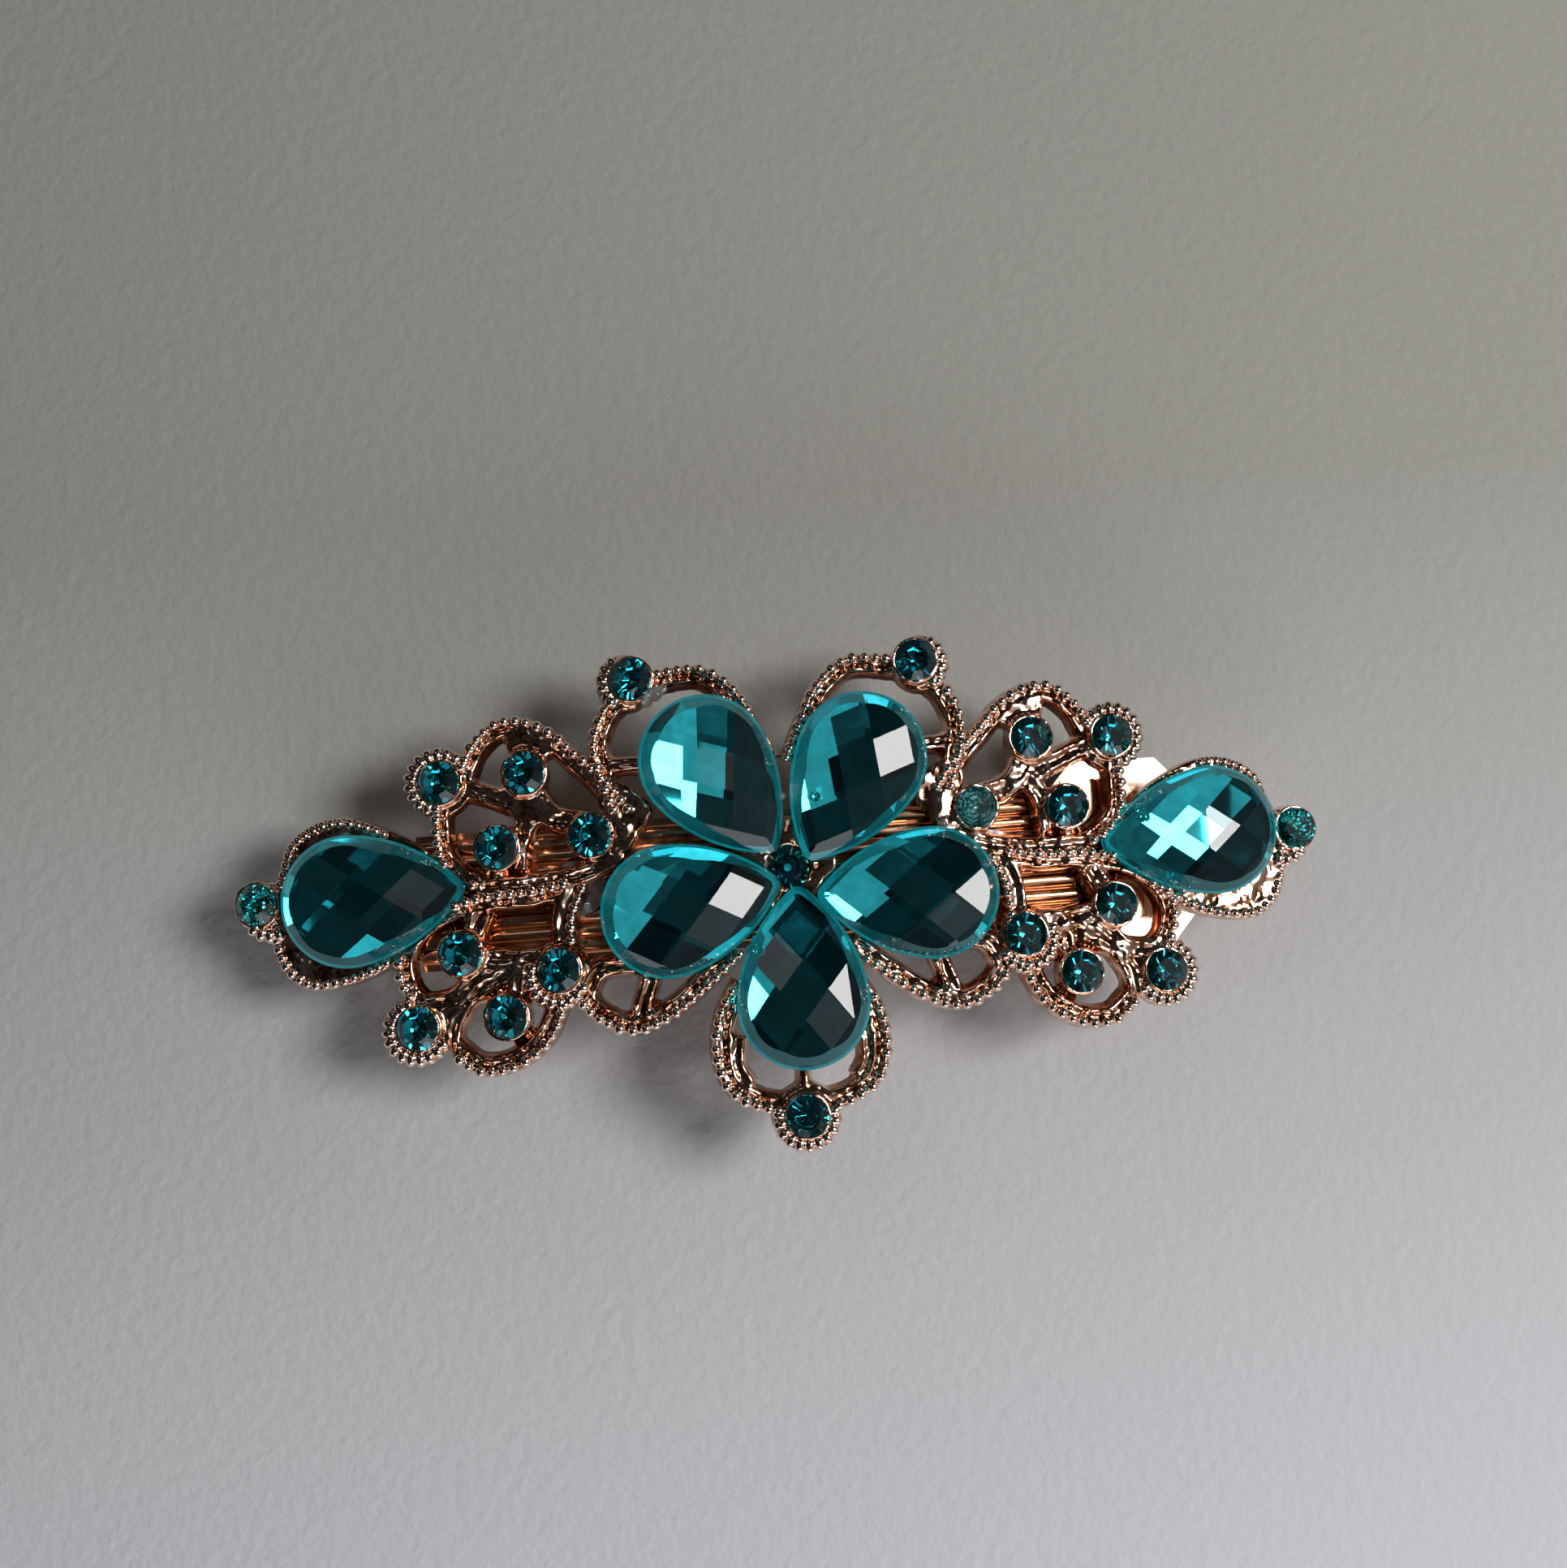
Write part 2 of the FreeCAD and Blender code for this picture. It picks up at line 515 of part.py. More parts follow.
# ---------------------------------------------------------------- hinge
def hinge_pin():
    """Pin with peened heads outside the ears of the upper jaw."""
    half = UPPER_WIDTH / 2 + 0.1
    shaft = Part.makeCylinder(PIN_RADIUS, 2 * half, V(PIN_X, JAW_Y - half, PIN_Z), Y_AXIS)
    heads = [Part.makeCylinder(PIN_HEAD_RADIUS, PIN_HEAD, V(PIN_X, JAW_Y - half - PIN_HEAD, PIN_Z), Y_AXIS),
             Part.makeCylinder(PIN_HEAD_RADIUS, PIN_HEAD, V(PIN_X, JAW_Y + half, PIN_Z), Y_AXIS)]
    return shaft.multiFuse(heads).removeSplitter()


def coil_point(angle):
    turn = math.radians(angle)
    return V(PIN_X + SPRING_COIL * math.cos(turn), 0, PIN_Z + SPRING_COIL * math.sin(turn))


def torsion_spring():
    """Coil round the pin whose legs push the tab and the lever apart."""
    lower_angle, lower_length = LOWER_LEG
    upper_angle, upper_length = UPPER_LEG
    turns = SPRING_TURNS + (lower_angle - upper_angle) / 360
    height = SPRING_PITCH * turns
    helix = Part.makeHelix(SPRING_PITCH, height, SPRING_COIL)
    section = Part.Wire(Part.makeCircle(SPRING_WIRE, V(SPRING_COIL, 0, 0), Y_AXIS))
    coil = Part.Wire(helix.Edges).makePipeShell([section], True, True)
    coil.rotate(V(0, 0, 0), V(1, 0, 0), -90)
    coil.rotate(V(0, 0, 0), Y_AXIS, 360 - lower_angle)
    coil.translate(V(PIN_X, JAW_Y - height / 2, PIN_Z))
    legs = []
    for angle, length, side in ((lower_angle, lower_length, -1), (upper_angle, upper_length, 1)):
        turn = math.radians(angle)
        start = coil_point(angle) + V(0, JAW_Y + side * height / 2, 0)
        along = V(side * math.sin(turn), 0, -side * math.cos(turn))
        legs.append(Part.makeCylinder(SPRING_WIRE, length, start + along * SPRING_BEND_GAP, along))
        legs.append(Part.makeSphere(SPRING_BEND, start))
    return coil.multiFuse(legs)


# ---------------------------------------------------------------- build
def build():
    nodes = {"filigree_frame": filigree_frame(), "upper_jaw": upper_jaw(), "lower_jaw": lower_jaw(),
             "hinge_pin": hinge_pin(), "torsion_spring": torsion_spring()}
    nodes.update(solder_pads())
    gem = pear_gem()
    for name, (x, y, angle) in PEARS.items():
        nodes[name] = set_on_arch(gem, x, y, CASTING_THICK, angle)
    stone = round_stone()
    for name, x, y, lift in stone_places():
        nodes[name] = set_on_arch(stone, x, y, lift)
    return nodes


os.makedirs("parts", exist_ok=True)
for node, shape in build().items():
    shape.translate(V(0, FLOWER_Y, 0))
    shape.exportStep("parts/" + node + ".step")
    print(node, shape.isValid(), len(shape.Solids), round(shape.Volume, 2))
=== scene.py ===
import bmesh
import bpy
import math
import random
from collections import namedtuple
from mathutils import Matrix, Vector, noise


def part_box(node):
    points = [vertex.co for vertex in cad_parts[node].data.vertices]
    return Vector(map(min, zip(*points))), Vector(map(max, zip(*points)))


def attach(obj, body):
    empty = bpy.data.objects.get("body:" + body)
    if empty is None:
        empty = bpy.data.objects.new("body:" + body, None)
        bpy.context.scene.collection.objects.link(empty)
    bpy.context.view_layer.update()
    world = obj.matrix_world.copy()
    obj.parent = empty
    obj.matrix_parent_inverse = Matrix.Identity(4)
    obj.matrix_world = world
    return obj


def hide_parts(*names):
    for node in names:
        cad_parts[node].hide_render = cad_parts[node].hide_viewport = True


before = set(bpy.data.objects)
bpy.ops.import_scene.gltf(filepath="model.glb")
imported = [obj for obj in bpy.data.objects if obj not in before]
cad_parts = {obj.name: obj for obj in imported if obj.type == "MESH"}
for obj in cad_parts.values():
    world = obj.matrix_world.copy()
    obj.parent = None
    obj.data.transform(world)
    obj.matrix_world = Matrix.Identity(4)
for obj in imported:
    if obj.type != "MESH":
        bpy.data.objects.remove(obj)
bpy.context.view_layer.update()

# Lengths are in millimetres in the tables and builders, and MM turns them into metres at the end.
MM = 0.001

# ------------------------------------------------------------------ the ornament's own frame
# Plan positions are measured from the flower's centre, on an arch about an axis parallel to Y.
FLOWER_Y = 2.2
ARC_RADIUS = 240.0
CASTING_Z = 10.5
CASTING_THICK = 1.9
CUP_HEIGHT = 2.35
CENTRE_SINK = 0.05               # table of the centre stone below the casting's top
ARC_CENTRE_Z = CASTING_Z - ARC_RADIUS

PEAR_WIDTH = 10.4
PEAR_LENGTH = 14.5               # to the sharp corner that the rounded tip cuts off
PEAR_HEIGHT = 3.3
PEAR_SIDE_START = 98.0           # direction, in degrees, where the round end turns into the side
PEAR_TIP_ROUND = 0.9
SEAT_INSET = 0.85
STONE_RADIUS = 1.65
STONE_GIRDLE = 0.15
STONE_CROWN = 0.6
STONE_TABLE_RADIUS = 0.95
STONE_PAVILION = 1.35
STONE_FACETS = 10
GLITTER_STONE = "stone_right_upper_leaf_root"
STONE_LEAN = -3.0                # degrees along X
STONE_LEAN_RISE = 0.36           # more for each millimetre beyond the next value
STONE_LEAN_FROM = 20.0
STONE_SWAY = (1.5, 3.0)          # random part of the lean along X and Y, in degrees
STONE_SEED = 7

# Centre of the round end, direction from the tip to the round end, and lean, in degrees, along X and Y.
Pear = namedtuple("Pear", "x y direction lean")
PEARS = {
    "petal_gem_bottom": Pear(0.35, -10.7, -91.5, (-1.5, 6.0)),
    "petal_gem_left": Pear(-9.75, -2.75, 190.5, (6.0, -5.0)),
    "petal_gem_right": Pear(11.2, -2.85, -3.0, (-5.8, -1.0)),
    "petal_gem_upper_left": Pear(-6.1, 8.8, 125.0, (9.5, -5.0)),
    "petal_gem_upper_right": Pear(6.35, 8.2, 58.0, (-2.2, -4.5)),
    "end_gem_left": Pear(-34.5, -0.1, 183.0, (7.0, -1.0)),
    "end_gem_right": Pear(34.6, 0.5, 2.5, (-7.0, 0.5)),
}

# Right half of the openwork: width, beaded side (1 left of the path, -1 right, 0 none), points.
LEAF_STRANDS = [
    (1.6, 1, [(12.6, 5.2), (14.6, 7.9), (16.4, 9.7), (18.2, 11.5), (20.4, 12.6), (22.2, 12.5),
              (23.8, 11.2), (24.8, 9.4)]),
    (2.0, 0, [(18.0, 10.8), (19.4, 11.4)]),
    (1.7, 0, [(20.2, 6.0), (22.4, 7.1), (24.9, 8.1)]),
    (1.5, 1, [(26.9, 6.6), (27.0, 4.6), (26.7, 2.6), (25.4, 1.2), (24.0, 0.5)]),
    (2.0, 0, [(15.6, 4.6), (18.2, 5.3), (19.6, 7.2)]),
    (1.8, 0, [(19.4, 6.0), (20.8, 4.0), (21.3, 1.4)]),
    (1.7, 0, [(13.4, 1.6), (16.4, 0.6), (20.2, 0.2), (24.6, 0.2)]),
    (1.6, 1, [(17.6, -0.4), (20.2, -0.9), (23.6, -1.0), (26.8, -1.7), (29.3, -3.1), (30.5, -5.2),
              (30.2, -7.2), (29.4, -8.4)]),
    (2.0, -1, [(16.8, -0.2), (17.8, -2.4), (18.0, -5.0)]),
    (2.0, 0, [(24.2, -1.7), (25.2, -3.6)]),
    (1.8, 0, [(19.4, -5.6), (21.6, -5.7), (24.2, -5.3)]),
    (1.8, 0, [(21.0, -5.8), (24.0, -7.3), (27.0, -9.0)]),
    (1.7, 0, [(24.4, -6.0), (26.6, -8.2), (29.0, -8.7)]),
    (1.5, 0, [(21.6, -6.0), (21.9, -8.2)]),
    (1.7, -1, [(18.6, -9.2), (20.0, -11.8), (22.4, -13.4), (24.9, -13.6), (26.8, -12.2)]),
    (1.6, 0, [(26.0, -8.8), (26.9, -10.4), (27.2, -12.4)]),
]
FLOWER_STRANDS = [
    (1.7, 0, [(12.6, -6.6), (15.2, -6.9), (16.4, -8.6)]),
    (1.6, -1, [(4.6, -6.2), (7.0, -8.2), (10.0, -10.4), (12.9, -11.4), (15.2, -10.4), (16.6, -9.0)]),
    (1.6, 0, [(11.2, -7.4), (12.4, -10.6)]),
    (1.6, -1, [(13.0, 5.6), (13.9, 8.4), (14.2, 10.8), (13.4, 12.9), (12.4, 14.0)]),
    (1.3, 0, [(9.8, 8.9), (13.9, 9.1)]),
    (1.7, 1, [(0.9, 8.4), (2.2, 11.2), (3.6, 13.8), (5.6, 15.5), (7.4, 15.7), (9.6, 15.4)]),
    (1.7, 1, [(4.2, -8.8), (5.7, -11.2), (6.2, -14.0), (5.5, -16.6), (3.6, -17.9), (1.8, -18.4)]),
    (1.6, 0, [(5.0, -12.8), (5.2, -15.2), (4.4, -16.8)]),
]
BOTTOM_STEM = (1.0, 0, [(0, -15), (0, -18.5)])
FLOWER_HUB_RADIUS = 3.8
# Solid patches where several strands meet, right half.
FLOWER_PATCH = [(10.4, 5.4), (12.0, 7.2), (13.8, 7.8), (14.6, 6.4), (14.2, 4.8), (14.0, 2.4), (15.4, 1.6),
                (14.6, 0.6), (13.0, 1.4), (11.6, 3.4)]
LEAF_PATCHES = [
    [(18.0, 10.4), (19.0, 9.9), (21.3, 10.6), (21.4, 11.8), (20.8, 12.6), (19.4, 12.4), (18.0, 11.6)],
    [(18.2, 5.2), (19.4, 7.0), (20.8, 7.2), (21.6, 6.2), (20.6, 5.0)],
]
# Scalloped shells: centre, outer radius, first and last direction of the ribs in degrees.
LEAF_SHELLS = [
    (27.0, 8.7, 2.8, -85, 150),
    (29.8, -10.6, 2.8, -150, 75),
    (18.6, -7.1, 2.75, -150, 20),
    (41.0, -0.5, 2.4, -110, 95),     # at the tip
]
CROWN_SHELL = (11.8, 15.5, 2.35, -60, 60)
BOTTOM_SHELL = (0.0, -19.5, 2.75, -190, 10)
TRAY = [(26.2, 0.6), (28.6, 3.6), (31.6, 5.4), (34.4, 6.45), (36.9, 6.3), (39.2, 4.9), (40.2, 2.4),
        (41.2, -0.4), (40.6, -4.4), (38.8, -6.5), (36.2, -6.8), (32.4, -5.8), (29.0, -3.6), (26.4, -1.2)]

TRAY_MIDDLE = 34.5
LEAF_STONES = ("upper_leaf_root", "upper_leaf_eye", "upper_leaf_foot", "upper_leaf_shell",
               "lower_leaf_root", "lower_leaf_foot", "lower_leaf_eye", "lower_leaf_shell", "tip")

VOXEL = 0.17
CIRCLE_POINTS = 40
# Section of a strand.
STRAND_DRAFT = 0.2               # wider at the foot, on each side
STRAND_WALL = 1.1                # height of the drafted wall
SHOULDER_INSET = 0.12
SHOULDER_HEIGHT = 1.6
CREST_INSET = 0.36
CHANNEL_HEIGHT = 1.55            # bottom of the channel along the middle
# How far the tops of the flat parts lie below the casting's top.
SHELL_SINK = 0.15
PLATE_SINK = 0.1
TRAY_SINK = 0.25
SHELL_INSET = 0.12               # edge of a shell's plate inside the shell's outer radius
PLATE_DRAFT = 0.15               # wider at the foot, for plates and shells
CUP_WALL = 0.24
CUP_RIM_SINK = 0.05              # rim of a cup below the girdle of its stone
CUP_DRAFT = 0.1
# Room that the casting leaves round and below the stones.
CUP_PLAY = 0.02
CUP_GAP = 0.06
SEAT_PLAY = 0.1
SEAT_GAP = 0.08
SEAT_LOW = 0.9                   # the casting above this is pressed down below the pear stones
# Beads along the strands. The shape is a bead's three half axes, in its radius.
BEAD_RADIUS = 0.43
BEAD_PITCH = 0.82
BEAD_SPREAD = (0.85, 1.12)       # smallest and largest, in the radius
BEAD_SHAPE = (0.98, 1.1, 1.0)
BEAD_INSET = 0.38
BEAD_RISE = 0.03                 # middle of a bead above the casting's top
BEAD_MARGIN = 0.12               # kept free round the stones
BEAD_STEP = 0.1                  # between the places that can get a bead
# Beads round the trays.
TRAY_BEAD_RADIUS = 0.36
TRAY_BEAD_PITCH = 2.05           # in the radius
TRAY_BEAD_SPREAD = (0.9, 1.1)
TRAY_BEAD_SHAPE = (1.25, 1.0, 1.0)
TRAY_BEAD_INSET = 0.42
TRAY_BEAD_SINK = 0.2             # middle of a bead below the casting's top
TRAY_BEAD_MARGIN = 0.1
TRAY_BEAD_STEP = 0.08
# Ribs of the shells.
RIB_PITCH = 0.95
RIB_INSET = 0.62
RIB_SINK = 0.12
RIB_RADII = (0.68, 0.45, 0.52)
# Pebbled surface.
FINE_PEBBLE_RATE = 2.3           # fine lumps for each coarse one
FINE_PEBBLE_SHARE = 0.35
PEBBLE_TOP = 0.17                # relief of the top and of the walls
PEBBLE_WALL = 0.05
FACING_UP = 0.3                  # upward part of the normal from which a face counts as top
SMOOTH_BELOW = 0.2               # height up to which the underside stays smooth
# Painted shade and highlight that the metal's colour follows, dark in the hollows and pale on raised parts:
# its middle, and its share of pebbles and of height.
SHADE_HIGHLIGHT_MIDDLE = 0.5
SHADE_HIGHLIGHT_PEBBLE = 0.55
SHADE_HIGHLIGHT_LIFT = 0.25
BEAD_PAINTED_HIGHLIGHT = 0.9


def arch_point(x, y, lift):
    """Metres, for a plan position that lies lift above the casting's underside."""
    radius = ARC_RADIUS + lift
    z = ARC_CENTRE_Z + math.sqrt(radius * radius - x * x)
    return Vector((x, y + FLOWER_Y, z)) * MM


def arch_matrix(x, y, lift, turn=0.0):
    """Places a shape that is in millimetres about its own origin."""
    tilt = math.asin(x / (ARC_RADIUS + lift))
    place = Matrix.Translation(arch_point(x, y, lift)) @ Matrix.Rotation(tilt, 4, "Y")
    return place @ Matrix.Rotation(math.radians(turn), 4, "Z") @ Matrix.Scale(MM, 4)


def plan_position(point):
    """Plan x and y and the height above the casting's underside, in millimetres, of a point in metres."""
    x, y, z = point.x / MM, point.y / MM - FLOWER_Y, point.z / MM
    return x, y, math.hypot(x, z - ARC_CENTRE_Z) - ARC_RADIUS


def axes_matrix(x_axis, y_axis, z_axis):
    """Turns a thing so that its own axes point the given ways."""
    return Matrix((x_axis, y_axis, z_axis)).transposed().to_4x4()


# ------------------------------------------------------------------ camera
CAMERA_AT = (-8.19, -2.31, 144.2)
CAMERA_TOWARDS = (0.07, 8.68, 12.9)
CAMERA_ROLL = -4.38
CAMERA_ANGLE = 50.0
CAMERA_NEAR = 5.0


def make_camera():
    data = bpy.data.cameras.new("camera")
    data.sensor_fit = "HORIZONTAL"
    data.angle = math.radians(CAMERA_ANGLE)
    data.clip_start = CAMERA_NEAR * MM
    camera = bpy.data.objects.new("camera", data)
    bpy.context.scene.collection.objects.link(camera)
    place, target = Vector(CAMERA_AT) * MM, Vector(CAMERA_TOWARDS) * MM
    forward = (target - place).normalized()
    right = forward.cross(Vector((0, 1, 0))).normalized()
    up = right.cross(forward)
    turned = axes_matrix(right, up, -forward)
    roll = Matrix.Rotation(math.radians(CAMERA_ROLL), 4, "Z")
    camera.matrix_world = Matrix.Translation(place) @ turned @ roll
    bpy.context.scene.camera = camera


# ------------------------------------------------------------------ stage and light, in metres
FLOOR_HALF = 1.2
FLOOR_GAP = 0.0001               # keeps the floor just below the lowest point of the clip
# Panels of light: direction from the ornament, distance, width and depth, radiance and colour.
# A window on the right, the wall below it, a faint strip on the left and a glow from the near side.
LIGHTS = {
    "window": ((0.70, 0.08, 1.0), 0.42, (0.16, 0.13), 14.0, (1.0, 0.98, 0.97)),
    "wall": ((0.50, -0.20, 1.0), 0.60, (0.26, 0.40), 0.42, (1.0, 0.98, 0.96)),
    "strip": ((-0.48, 0.64, 1.0), 0.60, (0.20, 0.12), 0.8, (0.96, 0.98, 1.0)),
    "glow": ((0.12, -1.0, 0.45), 0.45, (0.50, 0.15), 1.9, (0.94, 0.96, 1.0)),
}
BRIGHT_SIDE = (0.8, -0.45, -0.4)
ROOM_TONES = [(0.40, (0.005, 0.005, 0.006)), (0.95, (0.30, 0.29, 0.28))]
PATCH_SCALE = 3.5
PATCH_EDGES = (0.42, 0.62)       # noise where a pale patch begins and where it is full
PATCH_RADIANCE = 0.022
BACKDROP = (0.42, 0.42, 0.41, 1)


def make_floor():
    corners = [(-FLOOR_HALF, -FLOOR_HALF, 0), (FLOOR_HALF, -FLOOR_HALF, 0),
               (FLOOR_HALF, FLOOR_HALF, 0), (-FLOOR_HALF, FLOOR_HALF, 0)]
    mesh = bpy.data.meshes.new("floor")
    mesh.from_pydata(corners, [], [(0, 1, 2, 3)])
    floor = bpy.data.objects.new("floor", mesh)
    bpy.context.scene.collection.objects.link(floor)
    floor.location.z = -FLOOR_GAP
    floor.data.materials.append(paper_material())


def area_light(name, direction, distance, size, radiance, colour):
    """Rectangular panel that faces the ornament; its size is along X and along Y."""
    data = bpy.data.lights.new(name, "AREA")
    data.shape = "RECTANGLE"
    data.size, data.size_y = size
    data.energy = radiance * math.pi * size[0] * size[1]
    data.color = colour
    light = bpy.data.objects.new(name, data)
    bpy.context.scene.collection.objects.link(light)
    away = Vector(direction).normalized()
    across = Vector((0, 1, 0)).cross(away).normalized()
    upright = away.cross(across)
    centre = Vector((0, FLOWER_Y, CASTING_Z)) * MM
    light.matrix_world = Matrix.Translation(centre + away * distance) @ axes_matrix(across, upright, away)


def make_lights():
    for name, panel in LIGHTS.items():
        area_light(name, *panel)


def room_background(tree):
    """A dim room with soft paler patches, brighter low down on the right and the near side."""
    where = tree.nodes.new("ShaderNodeTexCoord")
    side = tree.nodes.new("ShaderNodeVectorMath")
    side.operation = "DOT_PRODUCT"
    side.inputs[1].default_value = BRIGHT_SIDE
    tree.links.new(where.outputs["Generated"], side.inputs[0])
    spread = map_range(tree, side.outputs["Value"], (-1.0, 1.0), (0.0, 1.0))
    walls = colour_ramp(tree, spread, ROOM_TONES)
    texture = tree.nodes.new("ShaderNodeTexNoise")
    texture.inputs["Scale"].default_value = PATCH_SCALE
    texture.inputs["Detail"].default_value = 1.0
    tree.links.new(where.outputs["Generated"], texture.inputs["Vector"])
    patches = map_range(tree, texture.outputs["Fac"], PATCH_EDGES, (0.0, PATCH_RADIANCE))
    total = tree.nodes.new("ShaderNodeVectorMath")
    total.operation = "ADD"
    tree.links.new(walls, total.inputs[0])
    tree.links.new(patches, total.inputs[1])
    room = tree.nodes.new("ShaderNodeBackground")
    tree.links.new(total.outputs["Vector"], room.inputs["Color"])
    return room


def make_world():
    """The room lights the clip and shows in its reflections. The camera sees a plain pale backdrop."""
    world = bpy.data.worlds.new("studio")
    bpy.context.scene.world = world
    world.use_nodes = True
    tree = world.node_tree
    tree.nodes.clear()
    room = room_background(tree)
    backdrop = tree.nodes.new("ShaderNodeBackground")
    backdrop.inputs["Color"].default_value = BACKDROP
    path = tree.nodes.new("ShaderNodeLightPath")
    choice = tree.nodes.new("ShaderNodeMixShader")
    output = tree.nodes.new("ShaderNodeOutputWorld")
    tree.links.new(path.outputs["Is Camera Ray"], choice.inputs["Fac"])
    tree.links.new(room.outputs["Background"], choice.inputs[1])
    tree.links.new(backdrop.outputs["Background"], choice.inputs[2])
    tree.links.new(choice.outputs["Shader"], output.inputs["Surface"])


# ------------------------------------------------------------------ materials
SOFT_EDGES = (0.3, 0.7)          # noise where a mottled colour begins to change and where it is full
FOIL_EDGES = (0.35, 0.65)
RUBBED_EDGES = (0.62, 0.8)
FLAKE_EDGES = (0.55, 0.75)
FLAKE_RATE = 3.4                 # flakes per millimetre
FOIL_SHADE = 0.75                # dark parts of a foil, in its colour


def new_material(name, **values):
    """A material with the given values on its shader's sockets of those names."""
    material = bpy.data.materials.new(name)
    material.use_nodes = True
    shader = material.node_tree.nodes["Principled BSDF"]
    for socket, value in values.items():
        shader.inputs[socket].default_value = value
    return material, material.node_tree, shader


def noise_texture(tree, scale, detail=3.0, roughness=0.5):
    """Noise in the object's own coordinates, scale in features per millimetre."""
    where = tree.nodes.new("ShaderNodeTexCoord")
    texture = tree.nodes.new("ShaderNodeTexNoise")
    texture.inputs["Scale"].default_value = scale / MM
    texture.inputs["Detail"].default_value = detail
    texture.inputs["Roughness"].default_value = roughness
    tree.links.new(where.outputs["Object"], texture.inputs["Vector"])
    return texture.outputs["Fac"]


def colour_ramp(tree, source, stops):
    ramp = tree.nodes.new("ShaderNodeValToRGB")
    while len(ramp.color_ramp.elements) < len(stops):
        ramp.color_ramp.elements.new(0.5)
    for element, (position, colour) in zip(ramp.color_ramp.elements, stops):
        element.position = position
        element.color = (*colour, 1)
    tree.links.new(source, ramp.inputs["Fac"])
    return ramp.outputs["Color"]


def map_range(tree, source, old, new):
    """Takes a value from the old range to the new one, and no further."""
    node = tree.nodes.new("ShaderNodeMapRange")
    for name, value in zip(("From Min", "From Max", "To Min", "To Max"), (*old, *new)):
        node.inputs[name].default_value = value
    tree.links.new(source, node.inputs["Value"])
    return node.outputs["Result"]


def mottle(tree, shader, source, dark, light, edges=SOFT_EDGES):
    """Base colour that changes softly between two tones."""
    tint = colour_ramp(tree, source, list(zip(edges, (dark, light))))
    tree.links.new(tint, shader.inputs["Base Color"])


def vary_roughness(tree, shader, source, edges, low, high):
    tree.links.new(map_range(tree, source, edges, (low, high)), shader.inputs["Roughness"])


def bump(tree, shader, source, distance, strength=1.0):
    node = tree.nodes.new("ShaderNodeBump")
    node.inputs["Distance"].default_value = distance * MM
    node.inputs["Strength"].default_value = strength
    tree.links.new(source, node.inputs["Height"])
    tree.links.new(node.outputs["Normal"], shader.inputs["Normal"])


# The paper's tone along Y is painted light on the near side and painted shade on the far side.
PAPER_PAINTED_LIGHT_Y = -0.065              # metres along Y where the paper is palest and where it is darkest
PAPER_PAINTED_SHADE_Y = 0.035


def paper_material():
    """Pale laid paper with painted light, paler on the near side, and painted shade, darker on the far
    side.
    """
    material, tree, shader = new_material("pale_paper", Roughness=0.85)
    where = tree.nodes.new("ShaderNodeTexCoord")
    split = tree.nodes.new("ShaderNodeSeparateXYZ")
    tree.links.new(where.outputs["Object"], split.inputs[0])
    painted_light_fade = map_range(tree, split.outputs["Y"], (PAPER_PAINTED_LIGHT_Y, PAPER_PAINTED_SHADE_Y), (1.0, 0.0))
    mottle(tree, shader, painted_light_fade, (0.46, 0.458, 0.412), (0.88, 0.88, 0.94), (0.0, 1.0))
    bump(tree, shader, noise_texture(tree, 0.9, 4), 0.25, 0.6)
    return material


def cast_rose_gold():
    """Plated casting: painted shade as dark copper in the hollows, painted highlight as pale pink on the
    raised parts and beads, fine pebbles.
    """
    material, tree, shader = new_material("cast_rose_gold", Metallic=1.0)
    # The relief value picks the base colour: painted shade in the hollows, painted highlight on raised
    # parts and beads.
    height = tree.nodes.new("ShaderNodeAttribute")
    height.attribute_name = "shade_highlight"
    tones = [(0.15, (0.42, 0.18, 0.09)), (0.5, (0.88, 0.52, 0.37)), (0.85, (0.99, 0.77, 0.66))]
    tree.links.new(colour_ramp(tree, height.outputs["Fac"], tones), shader.inputs["Base Color"])
    speckle = noise_texture(tree, 1.0, 2)
    vary_roughness(tree, shader, speckle, SOFT_EDGES, 0.05, 0.14)
    bump(tree, shader, speckle, 0.12, 0.15)
    return material


def fluted_copper():
    """Rubbed copper plate of the upper jaw."""
    material, tree, shader = new_material("fluted_copper", Metallic=1.0)
    patches = noise_texture(tree, 0.5, 4)
    mottle(tree, shader, patches, (0.66, 0.34, 0.19), (0.86, 0.52, 0.34))
    vary_roughness(tree, shader, patches, SOFT_EDGES, 0.16, 0.3)
    return material


def pale_plating():
    """Paler plating of the lower jaw and the pin."""
    material, tree, shader = new_material("pale_plating", Metallic=1.0)
    patches = noise_texture(tree, 0.3, 4)
    mottle(tree, shader, patches, (0.83, 0.64, 0.50), (0.92, 0.76, 0.62))
    vary_roughness(tree, shader, patches, SOFT_EDGES, 0.2, 0.32)
    return material


def bright_wire():
    material, tree, shader = new_material("bright_wire", Metallic=1.0, Roughness=0.25)
    mottle(tree, shader, noise_texture(tree, 1.5), (0.55, 0.54, 0.52), (0.70, 0.69, 0.67))
    return material


def dull_solder():
    material, tree, shader = new_material("dull_solder", Metallic=1.0, Roughness=0.45)
    lumps = noise_texture(tree, 1.2, 4)
    mottle(tree, shader, lumps, (0.30, 0.29, 0.28), (0.50, 0.49, 0.47))
    bump(tree, shader, lumps, 0.1)
    return material


STONE_IOR = 1.55
GLUE_IOR = 1.47


def teal_clear(name, colour, haze):
    """Clear tinted stone body with a few rubbed patches."""
    material, tree, shader = new_material(name, IOR=STONE_IOR)
    shader.inputs["Transmission Weight"].default_value = 1.0
    shader.inputs["Base Color"].default_value = (*colour, 1)
    vary_roughness(tree, shader, noise_texture(tree, 0.5, 6, 0.8), RUBBED_EDGES, 0.0, haze)
    return material


